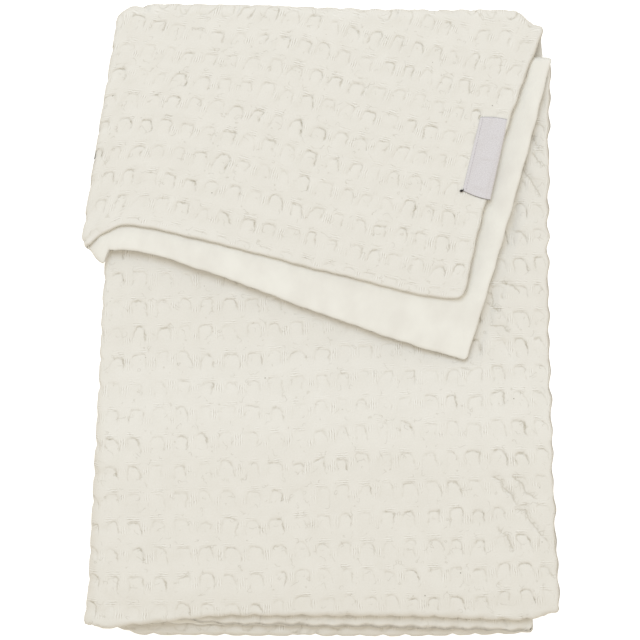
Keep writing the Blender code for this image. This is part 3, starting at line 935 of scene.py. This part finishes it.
def join_shader(tree, colour, relief, strength, depth):
    """Link a cloth material's colour, and its relief of the given strength and depth in millimetres."""
    bump = add_node(tree, "Bump", {"Strength": strength, "Distance": depth * MM, "Height": relief})
    shader = tree.nodes["Principled BSDF"]
    tree.links.new(colour, shader.inputs["Base Color"])
    tree.links.new(bump, shader.inputs["Normal"])


def bands(spacing):
    """Scale of a wave texture whose bands are this many millimetres apart on the cloth's map."""
    return 2.0 * math.pi / (20.0 * spacing * MM)


def grain(size):
    """Scale of a noise texture whose grains are this many millimetres across."""
    return 1.0 / (size * MM)


# Undyed carded cotton, waffle woven and washed: matt, off-white, with soft floats of thick yarn.
# The floats are drawn 1.9 mm apart, wider than their yarn, so that they show.
# The crest colour is the lightest, which the floats' painted highlights reach; the dark one is that of the
# painted shade in crevices and puckers, and of the random mottle and lint.
WAFFLE_CREST, WAFFLE_SHADE_AND_MOTTLE = "#F1EEE6", "#BDB5A2"
FLOAT_SPACING = 1.9
# The painted crevice shade: how far its line reaches to either side, and how far it wanders.
CREVICE_SHADE_REACH, CREVICE_SHADE_WANDER = 1.2, 3.0
PUCKER_REACH = 0.014
# Seed husk that undyed cotton keeps: the size of a speck, how far apart they may lie, and how many
# of those places have one.
HUSK_COLOUR = "#8E8877"
HUSK, HUSK_SPACING, HUSK_SHARE = 0.75, 16.0, 0.3
# The size in millimetres and the detail of each kind of unevenness in the yarns and the cloth.
UNEVENNESS = {
    "wobble": (3.333, 2.0),
    "gaps": (5.882, 1.0),
    "showing": (11.11, 1.0),
    "pull": (11.76, 2.0),
    "mottle": (16.67, 3.0),
    "lint": (1.4286, 3.0),
}
# How much of the painted crevice shade, of the floats with their painted highlights and of the
# painted pucker shade shows in each place: the kind of unevenness that says so, the values of it
# that count as its least and most, and how much shows at each.
SHOWING = {
    "crevice": ("gaps", 0.38, 0.6, 0.15, 1.15),
    "floats": ("showing", 0.45, 0.62, 0.0, 1.0),
    "float ends": ("wobble", 0.35, 0.6, 0.2, 1.4),
    "pucker": ("gaps", 0.54, 0.62, 0.0, 1.0),
}
# The bands of yarn: which way they are spaced, and how far they wave.
FLOATS = (("X", 3.2), ("Y", 3.6))
# How far each of these takes the colour from the crest colour, at 0, to the dark one, at 1: the
# lint and mottle as random tone, the floats as painted highlight and shade, the crevices and
# puckers as painted shade.
GROUND_SHADE, LINT_SHADE, MOTTLE_SHADE, FLOAT_HIGHLIGHT_AND_SHADE = 0.05, 0.16, 0.18, -0.6
PUCKER_SHADE, CREVICE_AND_PUCKER_SHADE = 0.7, 0.42
LINT_RELIEF = 0.3

tree = cloth_material(waffle, "undyed waffle cotton", roughness=0.92, sheen=0.1)
place = add_node(tree, "UVMap", uv_map="cloth")
cell = {name: add_node(tree, "Attribute", output="Fac", attribute_name=name) for name in FINISH_VALUES}
uneven = {name: add_node(tree, "TexNoise", {"Vector": place, "Scale": grain(size), "Detail": detail})
          for name, (size, detail) in UNEVENNESS.items()}
showing = {}
for name, (noise, least, most, low, high) in SHOWING.items():
    showing[name] = add_node(tree, "MapRange", {"Value": uneven[noise], "From Min": least, "From Max": most,
                                                "To Min": low, "To Max": high})

# The painted shade in the crevice round each pocket: a thin wandering dark line, broken where the
# yarns spring back over it.  Along the sharp creases the painted shade runs unbroken.
centred = add_node(tree, "Math", {0: uneven["wobble"], 1: 0.5}, operation="SUBTRACT")
moved = add_node(tree, "Math", {0: centred, 1: CREVICE_SHADE_WANDER * MM, 2: cell["outline"]},
                 operation="MULTIPLY_ADD")
away = add_node(tree, "Math", {0: moved}, operation="ABSOLUTE")
line = add_node(tree, "MapRange", {"Value": away, "From Max": CREVICE_SHADE_REACH * MM, "To Min": 1.0,
                                   "To Max": 0.0}, interpolation_type="SMOOTHSTEP")
in_places = add_node(tree, "Math", {0: cell["strength"], 1: showing["crevice"]}, operation="MULTIPLY")
drawn_in = add_node(tree, "Math", {0: in_places, 1: cell["crease_shade"]}, operation="MAXIMUM")
crevice = add_node(tree, "Math", {0: line, 1: drawn_in}, operation="MULTIPLY")

# The floats, with a painted highlight along each yarn and painted shade between them: upright on the
# ribs between pockets, level above each arch, and only in some places.
floats = 0.0
for (way, waving), ribs in zip(FLOATS, ("upright", "over")):
    yarns = add_node(tree, "TexWave", {"Vector": place, "Scale": bands(FLOAT_SPACING), "Distortion": waving,
                                       "Detail": 2.0, "Detail Scale": 1.1}, output="Fac", bands_direction=way)
    ridges = add_node(tree, "Math", {0: yarns, 1: 0.5}, operation="SUBTRACT")
    floats = add_node(tree, "Math", {0: ridges, 1: cell[ribs], 2: floats}, operation="MULTIPLY_ADD")
for name in ("floats", "float ends"):
    floats = add_node(tree, "Math", {0: floats, 1: showing[name]}, operation="MULTIPLY")

# Small puckers, where single yarns pull: thin lines of painted shade that run anywhere.
from_middle = add_node(tree, "Math", {0: uneven["pull"], 1: 0.5}, operation="SUBTRACT")
off_line = add_node(tree, "Math", {0: from_middle}, operation="ABSOLUTE")
pucker_line = add_node(tree, "MapRange", {"Value": off_line, "From Max": PUCKER_REACH,
                                          "To Min": 1.0, "To Max": 0.0})
pucker = add_node(tree, "Math", {0: pucker_line, 1: showing["pucker"]}, operation="MULTIPLY")

# The painted shade, the floats' painted highlights and the random lint and mottle darken or lighten
# the cloth, and the lint and the floats stand up from it.
drawn = add_node(tree, "Math", {0: pucker, 1: PUCKER_SHADE, 2: crevice}, operation="MULTIPLY_ADD")
shade = GROUND_SHADE
for part, amount in ((uneven["lint"], LINT_SHADE), (uneven["mottle"], MOTTLE_SHADE), (floats, FLOAT_HIGHLIGHT_AND_SHADE),
                     (drawn, CREVICE_AND_PUCKER_SHADE)):
    shade = add_node(tree, "Math", {0: part, 1: amount, 2: shade}, operation="MULTIPLY_ADD")
cloth = add_node(tree, "Mix", {0: shade, 6: linear(WAFFLE_CREST), 7: linear(WAFFLE_SHADE_AND_MOTTLE)}, output=2,
                 data_type="RGBA")
raised = add_node(tree, "Math", {0: uneven["lint"], 1: LINT_RELIEF, 2: floats}, operation="MULTIPLY_ADD")
relief = add_node(tree, "Math", {0: raised, 1: drawn}, operation="SUBTRACT")

# The specks of husk.
husk_place = add_node(tree, "TexVoronoi", {"Vector": place, "Scale": grain(HUSK_SPACING)})
speck = add_node(tree, "MapRange", {"Value": husk_place, "From Min": 0.5 * HUSK / HUSK_SPACING,
                                    "From Max": HUSK / HUSK_SPACING, "To Min": 0.8, "To Max": 0.0})
lots = add_node(tree, "SeparateXYZ", {0: husk_place.node.outputs["Color"]})
chosen = add_node(tree, "Math", {0: lots, 1: HUSK_SHARE}, operation="LESS_THAN")
husk = add_node(tree, "Math", {0: speck, 1: chosen}, operation="MULTIPLY")
colour = add_node(tree, "Mix", {0: husk, 6: cloth, 7: linear(HUSK_COLOUR)}, output=2, data_type="RGBA")
join_shader(tree, colour, relief, strength=0.65, depth=0.32)


# ---- Lining ------------------------------------------------------------------------------------
# The inside of the blanket: one plain woven cotton, raised to a short soft surface, cut to the
# same size as the waffle, sewn to it all round and turned.  It shows between the two hems.

# Waves that the seam draws into it within a reach of the edge, and a slow one all over: each the size
# in millimetres, the spacing in cells and the seed.  All are drawn at the same share of their size.
SEAM_REACH = 16.0
SEAM_WAVES = ((0.45, 0.55, 41), (0.5, 1.6, 42))
SLOW_WAVE = (0.25, 2.4, 43)
WAVE_SHARE = 0.6
# Its edge rolls over within this distance, ends this far above the middle of the ply, and follows
# the swing of the waffle's edge to this share.
LINING_ROLL = 2.2
LINING_RIM = 0.35
LINING_SCALLOP = 0.95
# Its mesh lines crowd together towards its edges.
EDGE_CROWDING = 1.9


def seam_pucker(column, row):
    """Small uneven waves that the seam draws into the lining along its edges."""
    *at_seam, slow = (size * wander(column, row, spacing, seed)
                      for size, spacing, seed in (*SEAM_WAVES, SLOW_WAVE))
    return mound(edge_distance(column, row), SEAM_REACH) * sum(at_seam) + slow


def toward_edge(places, count):
    """Place in the weave of each mesh line of the lining, drawn together in the last cell to the edge."""
    cell = np.minimum(places // FINEST, count - 1)
    part = (places - cell * FINEST) / FINEST
    last = 1.0 - (1.0 - part) ** EDGE_CROWDING
    return cell + np.where(cell == 0, part ** EDGE_CROWDING, np.where(cell == count - 1, last, part))


def lining_side(side):
    """Points of one side of the lining: 0 against the waffle, 1 on the inside of the blanket."""
    def points_of(across, along):
        column, row = toward_edge(across, COLUMNS), toward_edge(along, ROWS)
        w, s = folds_place(column, row)
        centre, to_side, to_end, up = cloth_frame(w, s)
        edge = edge_distance(column, row)
        roll = np.sqrt(1.0 - (1.0 - np.clip(edge / LINING_ROLL, 0.0, 1.0)) ** 2)
        waved = WAVE_SHARE * seam_pucker(column, row) * roll
        outer = -PLY_THICKNESS / 2 * roll + LINING_RIM * (1.0 - roll) + waved
        inner = np.minimum(LINING_THICKNESS - PLY_THICKNESS / 2, outer + LINING_THICKNESS)
        height = outer if side else inner
        points = centre + up * height[:, None] + LINING_SCALLOP * scalloped(column, row, to_side, to_end)
        points[:, 2] = np.maximum(points[:, 2], 0.0)
        return points, {"column": column, "row": row}
    return points_of


def lining_steps():
    """Mesh steps of each cell of the lining, finest along the hem and edge that show."""
    steps = np.full((ROWS, COLUMNS), BENT_STEP)
    steps[0, :] = steps[-1, :] = 2
    steps[:, 0] = steps[:, -1] = 2
    steps[0, COLUMNS // 2:] = 1
    steps[:TURNED_OVER_ROWS + 2, -1] = 1
    return steps


lining = cloth_mesh("lining_cotton", inner_steps(), lining_steps(), lining_side(0), lining_side(1))
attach(lining, "root")
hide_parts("lining")

# Undyed brushed cotton, plainly woven: smooth and matt, a little warmer than the waffle.
LINING_LIGHT, LINING_DARK = "#EEEBE1", "#E7E3D9"
CLOUDS, PILE = 25.0, 0.7143

tree = cloth_material(lining, "undyed brushed cotton", roughness=0.95, sheen=0.2)
place = add_node(tree, "UVMap", uv_map="cloth")
clouds = add_node(tree, "TexNoise", {"Vector": place, "Scale": grain(CLOUDS), "Detail": 4.0})
spread = add_node(tree, "MapRange", {"Value": clouds, "From Min": 0.35, "From Max": 0.65})
colour = add_node(tree, "Mix", {0: spread, 6: linear(LINING_LIGHT), 7: linear(LINING_DARK)}, output=2,
                  data_type="RGBA")
pile = add_node(tree, "TexNoise", {"Vector": place, "Scale": grain(PILE), "Detail": 3.0})
join_shader(tree, colour, pile, strength=0.35, depth=0.25)


# ---- Side label --------------------------------------------------------------------------------
# A strip of fine satin tape, 68 mm long, folded over the open edge of the turned-over end and sewn
# down along its inner side, with nothing on it.  Its cut ends show a dark line of their warp, with
# painted shadow under the lower one.

# Corners in the photograph's pixels: sewn side top, edge side top, edge side bottom, sewn side bottom.
LABEL_CORNERS = ((480.4, 117.2), (505.8, 119.2), (487.9, 199.9), (462.6, 190.7))
PHOTO_CENTRE = (320.0, 320.5)
MM_PER_PIXEL = 0.82
LABEL_LENGTH, LABEL_WIDTH, LABEL_WRAP = 68.0, 20.5, 3.4
LABEL_THICKNESS = 0.35
LABEL_COLUMNS, LABEL_ROWS, WRAP_COLUMNS = 26, 54, 5
LABEL_BOW = 0.9
# How the tape lies on the pockets: how often its bumps are eased, by how much at most each time, how
# near it stays to the cloth, its drop from one column to the next past the edge, and its clearance.
EASINGS, EASING = 14, 0.12
TAPE_NEAR, TAPE_DROP, TAPE_CLEAR = 0.1, 0.25, 0.2
# Rays start this high above the surface, in metres.
ABOVE = 0.1


def photo_to_plan(pixel):
    """Plan position in millimetres of a pixel of the photograph."""
    x = (pixel[0] - PHOTO_CENTRE[0]) * MM_PER_PIXEL - PLAN_CENTRE[0]
    y = (PHOTO_CENTRE[1] - pixel[1]) * MM_PER_PIXEL - PLAN_CENTRE[1]
    return np.array((x, y))


def cloth_top(tree, x, y):
    """Height in millimetres of the highest cloth at a place in the plan."""
    hit = tree.ray_cast(Vector((x * MM, y * MM, ABOVE)), Vector((0.0, 0.0, -1.0)))[0]
    return hit.z / MM if hit else 0.0


def softened(heights):
    """A grid of heights with its bumps eased out, as a tape spans the pockets under it."""
    for _ in range(EASINGS):
        padded = np.pad(heights, 1, mode="edge")
        round_about = padded[:-2, 1:-1] + padded[2:, 1:-1] + padded[1:-1, :-2] + padded[1:-1, 2:]
        heights = np.maximum(heights * 0.5 + round_about * 0.125, heights - EASING)
    return heights


cloth_points = [vertex.co for vertex in waffle.data.vertices]
cloth_tree = BVHTree.FromPolygons(cloth_points, [face.vertices for face in waffle.data.polygons])
sewn_top, edge_top, edge_low, sewn_low = (photo_to_plan(corner) for corner in LABEL_CORNERS)
label_grid = np.zeros((LABEL_ROWS + 1, LABEL_COLUMNS + 1, 3))
for j in range(LABEL_ROWS + 1):
    v = j / LABEL_ROWS
    for i in range(LABEL_COLUMNS + 1):
        u = i / LABEL_COLUMNS
        top = sewn_top + (edge_top - sewn_top) * u
        low = sewn_low + (edge_low - sewn_low) * u
        bow = LABEL_BOW * 4.0 * u * (1.0 - u) * np.array((0.0, 1.0 - 2.0 * v))
        label_grid[j, i, :2] = top + (low - top) * v + bow
        label_grid[j, i, 2] = cloth_top(cloth_tree, *label_grid[j, i, :2])
rests = label_grid[:, :, 2].copy()
# Past the cloth's rolled edge the rays fall to the lining: the tape keeps the height of the edge.
for i in range(1, LABEL_COLUMNS + 1):
    label_grid[:, i, 2] = np.maximum(label_grid[:, i, 2], label_grid[:, i - 1, 2] - TAPE_DROP)
label_grid[:, :, 2] = np.maximum(softened(label_grid[:, :, 2]), rests + TAPE_NEAR) + TAPE_CLEAR
outward = (edge_top - sewn_top) / np.linalg.norm(edge_top - sewn_top)
wrap = []
for turn in np.linspace(0.0, math.pi / 2, WRAP_COLUMNS + 1)[1:]:
    column = label_grid[:, -1].copy()
    column[:, :2] += outward * LABEL_WRAP / 2 * math.sin(turn)
    column[:, 2] -= LABEL_WRAP / 2 * (1.0 - math.cos(turn))
    wrap.append(column)
drop = wrap[-1].copy()
drop[:, 2] -= LABEL_WRAP / 2
label_points = np.concatenate((label_grid, np.stack(wrap + [drop], axis=1)), axis=1)
label_rows, label_columns = label_points.shape[:2]
corners = [(j, i) for j in range(label_rows - 1) for i in range(label_columns - 1)]
faces = [(j * label_columns + i, (j + 1) * label_columns + i, (j + 1) * label_columns + i + 1,
          j * label_columns + i + 1) for j, i in corners]
label_mesh = bpy.data.meshes.new("side_label_tape")
label_mesh.from_pydata(label_points.reshape(-1, 3) * MM, [], faces)
along_width = np.minimum(np.arange(label_columns) / LABEL_COLUMNS, 1.0) * LABEL_WIDTH
along_width += np.maximum(np.arange(label_columns) - LABEL_COLUMNS, 0) * LABEL_WRAP / (WRAP_COLUMNS + 1)
layer = label_mesh.uv_layers.new(name="tape")
for loop in label_mesh.loops:
    j, i = divmod(loop.vertex_index, label_columns)
    layer.data[loop.index].uv = (along_width[i] * MM, j / LABEL_ROWS * LABEL_LENGTH * MM)
label_mesh.shade_smooth()
label = new_object("side_label_tape", label_mesh)
bpy.context.view_layer.objects.active = label
label.select_set(True)
thick = label.modifiers.new("thickness", "SOLIDIFY")
thick.thickness, thick.offset = LABEL_THICKNESS * MM, 1.0
bpy.ops.object.modifier_apply(modifier=thick.name)
label.select_set(False)
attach(label, "root")
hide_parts("side_label")

# Bleached polyester satin tape: cooler and smoother than the cotton, with a faint sheen, a fine
# speckle of its weave, and a dark line of cut warp at each end, the lower one darkened further by
# painted shadow.  The weave is drawn 0.9 mm apart, coarser than it is, so that it shows.
TAPE_LIGHT, TAPE_DARK, CUT_WARP = "#DFDBDB", "#D2CDCD", "#6C6764"
TAPE_WEAVE, TAPE_SPECKLE = 0.9, 0.9091
# How far the dark line reaches in from each end, and how dark it is at the upper one and at the
# lower one, where painted shadow adds to the cut warp.
CUT_LINE = 0.75
UPPER_CUT, LOWER_CUT_AND_SHADOW = 0.45, 1.0

tree = cloth_material(label, "bleached satin tape", roughness=0.55, sheen=0.15)
place = add_node(tree, "UVMap", uv_map="tape")
place_along = add_node(tree, "SeparateXYZ", {0: place}, output="Y")
speckle = add_node(tree, "TexNoise", {"Vector": place, "Scale": grain(TAPE_SPECKLE), "Detail": 2.0})
spread = add_node(tree, "MapRange", {"Value": speckle, "From Min": 0.35, "From Max": 0.65})
base = add_node(tree, "Mix", {0: spread, 6: linear(TAPE_LIGHT), 7: linear(TAPE_DARK)}, output=2,
                data_type="RGBA")
upper_end = add_node(tree, "MapRange", {"Value": place_along, "From Min": 0.0, "From Max": CUT_LINE * MM,
                                        "To Min": UPPER_CUT, "To Max": 0.0})
lower_end = add_node(tree, "MapRange", {"Value": place_along, "From Min": (LABEL_LENGTH - CUT_LINE) * MM,
                                        "From Max": LABEL_LENGTH * MM, "To Min": 0.0, "To Max": LOWER_CUT_AND_SHADOW})
cut = add_node(tree, "Math", {0: upper_end, 1: lower_end}, operation="ADD", use_clamp=True)
colour = add_node(tree, "Mix", {0: cut, 6: base, 7: linear(CUT_WARP)}, output=2, data_type="RGBA")
warp = add_node(tree, "TexWave", {"Vector": place, "Scale": bands(TAPE_WEAVE), "Distortion": 0.6,
                                  "Detail": 1.0}, output="Fac", bands_direction="X")
woven = add_node(tree, "Math", {0: speckle, 1: 0.6, 2: warp}, operation="MULTIPLY_ADD")
join_shader(tree, colour, woven, strength=0.3, depth=0.12)


# ---- Label sewing ------------------------------------------------------------------------------
# A row of machine stitches in polyester thread holds the tape's inner side, and the black thread
# that was left at its lower corner ends in a small knot.

STITCH_INSET, STITCH_PITCH, STITCH_LENGTH = 2.3, 2.6, 1.9
# The row starts and stops this far from the tape's ends, and each stitch sinks in at both its ends.
ROW_START, ROW_STOP = 1.6, 3.0
STITCH_SUNK, STITCH_RISE = 0.15, 0.28
THREAD, KNOT_THREAD = 0.42, 0.68
# The hollows of the thread's twist are painted this share of its colour as shade, and its twist is
# drawn at this size.
TWIST_HOLLOW_SHADE, TWIST = 0.7, 0.4
# The knot: its place from the tape's lower corner, the loop's half sizes, and the loose ends.
KNOT_PLACE = (-1.0, -0.2, 0.5)
LOOP_SIZE, LOOP_TURNS, LOOP_POINTS = (1.15, 0.75, 0.35), 1.1, 14
KNOT_TAIL = ((0.4, 0.2, 0.1), (1.3, 0.9, 0.2), (1.9, 1.5, 0.0))
KNOT_BAR = ((-1.3, -0.5, 0.0), (0.0, 0.0, 0.3), (1.4, 0.3, 0.0))


def tape_place(inset, along):
    """Point on the tape's face, as far in from its sewn side and its upper end as given."""
    i = min(inset / LABEL_WIDTH, 1.0) * LABEL_COLUMNS
    j = min(along / LABEL_LENGTH, 1.0) * LABEL_ROWS
    i0, j0 = min(int(i), LABEL_COLUMNS - 1), min(int(j), LABEL_ROWS - 1)
    corner, ti, tj = label_grid[j0:j0 + 2, i0:i0 + 2], i - i0, j - j0
    upper, lower = corner[:, 0] * (1 - ti) + corner[:, 1] * ti
    return upper * (1 - tj) + lower * tj


def thread_piece(name, paths, radius):
    """Short lengths of thread along the given paths, as one piece."""
    curve = bpy.data.curves.new(name, "CURVE")
    curve.dimensions = "3D"
    curve.bevel_depth, curve.bevel_resolution, curve.use_fill_caps = radius * MM, 1, True
    for path in paths:
        spline = curve.splines.new("POLY")
        spline.points.add(len(path) - 1)
        for point, place in zip(spline.points, path):
            point.co = (*(np.array(place) * MM), 1.0)
    drawn = new_object(name, curve)
    drawn.select_set(True)
    bpy.context.view_layer.objects.active = drawn
    bpy.ops.object.convert(target="MESH")
    drawn = bpy.context.object
    drawn.data.name = name
    bpy.ops.object.mode_set(mode="EDIT")
    bpy.ops.mesh.select_all(action="SELECT")
    bpy.ops.mesh.remove_doubles(threshold=1e-6)
    bpy.ops.mesh.normals_make_consistent(inside=False)
    bpy.ops.object.mode_set(mode="OBJECT")
    bpy.ops.object.shade_smooth()
    drawn.select_set(False)
    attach(drawn, "root")
    return drawn


def thread_material(piece, name, hex_colour, roughness):
    """Give a piece a material of twisted thread of one colour, with the strands of its twist in
    relief and painted shade in the hollows between them.
    """
    tree = cloth_material(piece, name, roughness, sheen=0.1)
    place = add_node(tree, "TexCoord", output="Object")
    twist = add_node(tree, "TexNoise", {"Vector": place, "Scale": grain(TWIST), "Detail": 2.0})
    light = linear(hex_colour)
    dark = (*(TWIST_HOLLOW_SHADE * part for part in light[:3]), 1.0)
    colour = add_node(tree, "Mix", {0: twist, 6: dark, 7: light}, output=2, data_type="RGBA")
    join_shader(tree, colour, twist, strength=0.4, depth=0.1)


stitch_paths = []
for k in range(int((LABEL_LENGTH - ROW_STOP) / STITCH_PITCH) + 1):
    start = ROW_START + k * STITCH_PITCH
    path = []
    for t in (0.0, 0.25, 0.5, 0.75, 1.0):
        height = LABEL_THICKNESS - STITCH_SUNK + STITCH_RISE * math.sin(math.pi * t)
        path.append(tape_place(STITCH_INSET, start + STITCH_LENGTH * t) + (0.0, 0.0, height))
    stitch_paths.append(path)
stitches = thread_piece("label_stitches", stitch_paths, THREAD / 2)
thread_material(stitches, "white polyester thread", "#D6CFD2", roughness=0.6)

knot_centre = tape_place(0.0, LABEL_LENGTH) + KNOT_PLACE + (0.0, 0.0, LABEL_THICKNESS)
knot_loop = []
for t in np.linspace(0.0, 2.0 * math.pi * LOOP_TURNS, LOOP_POINTS):
    knot_loop.append(knot_centre + np.array(LOOP_SIZE) * (math.cos(t), math.sin(t), math.sin(2.0 * t)))
loose_ends = [[knot_centre + place for place in path] for path in (KNOT_TAIL, KNOT_BAR)]
knot = thread_piece("label_thread_knot", [knot_loop, *loose_ends], KNOT_THREAD / 2)
thread_material(knot, "black polyester thread", "#35302E", roughness=0.7)


# ---- Floor, light and camera -------------------------------------------------------------------
# A plain pale floor, soft studio light from above and beyond, and a camera straight overhead.

FLOOR_SIZE, FLOOR_DROP = 6.0, 0.0002
FLOOR_COLOUR, FLOOR_GLOW_COLOUR, FLOOR_GLOW = "#F7F7F7", "#FFFFFF", 0.6

bpy.ops.mesh.primitive_plane_add(size=FLOOR_SIZE, location=(0.0, 0.0, -FLOOR_DROP))
floor = bpy.context.object
floor.name = "floor"
paper = bpy.data.materials.new("white paper floor")
paper.use_nodes = True
paper_shader = paper.node_tree.nodes["Principled BSDF"]
paper_shader.inputs["Base Color"].default_value = linear(FLOOR_COLOUR)
paper_shader.inputs["Roughness"].default_value = 0.9
paper_shader.inputs["Specular IOR Level"].default_value = 0.1
paper_shader.inputs["Emission Color"].default_value = linear(FLOOR_GLOW_COLOUR)
paper_shader.inputs["Emission Strength"].default_value = FLOOR_GLOW
floor.data.materials.append(paper)
# The paper shows white but throws no light up onto the blanket's sides.
floor.visible_diffuse = False

# Light of the room from all round, and a large soft lamp above and beyond the blanket's far end,
# in watts and metres.
WARM_ROOM, ROOM_STRENGTH = (1.0, 0.943, 0.85), 0.79
COOL_KEY, KEY_POWER = (0.66, 0.80, 1.0), 73.0
KEY_WIDTH, KEY_DEPTH = 2.8, 2.4
KEY_PLACE = (-0.45, 2.05, 3.65)

world = bpy.data.worlds.new("studio")
bpy.context.scene.world = world
world.use_nodes = True
world.node_tree.nodes["Background"].inputs["Color"].default_value = (*WARM_ROOM, 1.0)
world.node_tree.nodes["Background"].inputs["Strength"].default_value = ROOM_STRENGTH

key = bpy.data.lights.new("key", "AREA")
key.shape, key.size, key.size_y, key.energy = "RECTANGLE", KEY_WIDTH, KEY_DEPTH, KEY_POWER
key.color = COOL_KEY
key_lamp = new_object("key", key)
key_lamp.location = KEY_PLACE
key_lamp.rotation_euler = (-key_lamp.location).to_track_quat("-Z", "Y").to_euler()

# The camera is far off, as the photograph's straight edges show, and frames the same plan at the
# height of the blanket's upper face.
PHOTO_WIDTH_PIXELS = 640
CAMERA_HEIGHT, FAR_LIMIT = 5.0, 50.0
FACE_HEIGHT = 0.018
SENSOR = 36.0

lens = bpy.data.cameras.new("camera")
lens.sensor_width = SENSOR
lens.lens = SENSOR * (CAMERA_HEIGHT - FACE_HEIGHT) / (PHOTO_WIDTH_PIXELS * MM_PER_PIXEL * MM)
lens.clip_end = FAR_LIMIT
camera = new_object("camera", lens)
camera.location = (-PLAN_CENTRE[0] * MM, 0.5 * MM_PER_PIXEL * MM - PLAN_CENTRE[1] * MM, CAMERA_HEIGHT)
bpy.context.scene.camera = camera
bpy.context.scene.view_settings.view_transform = "Standard"
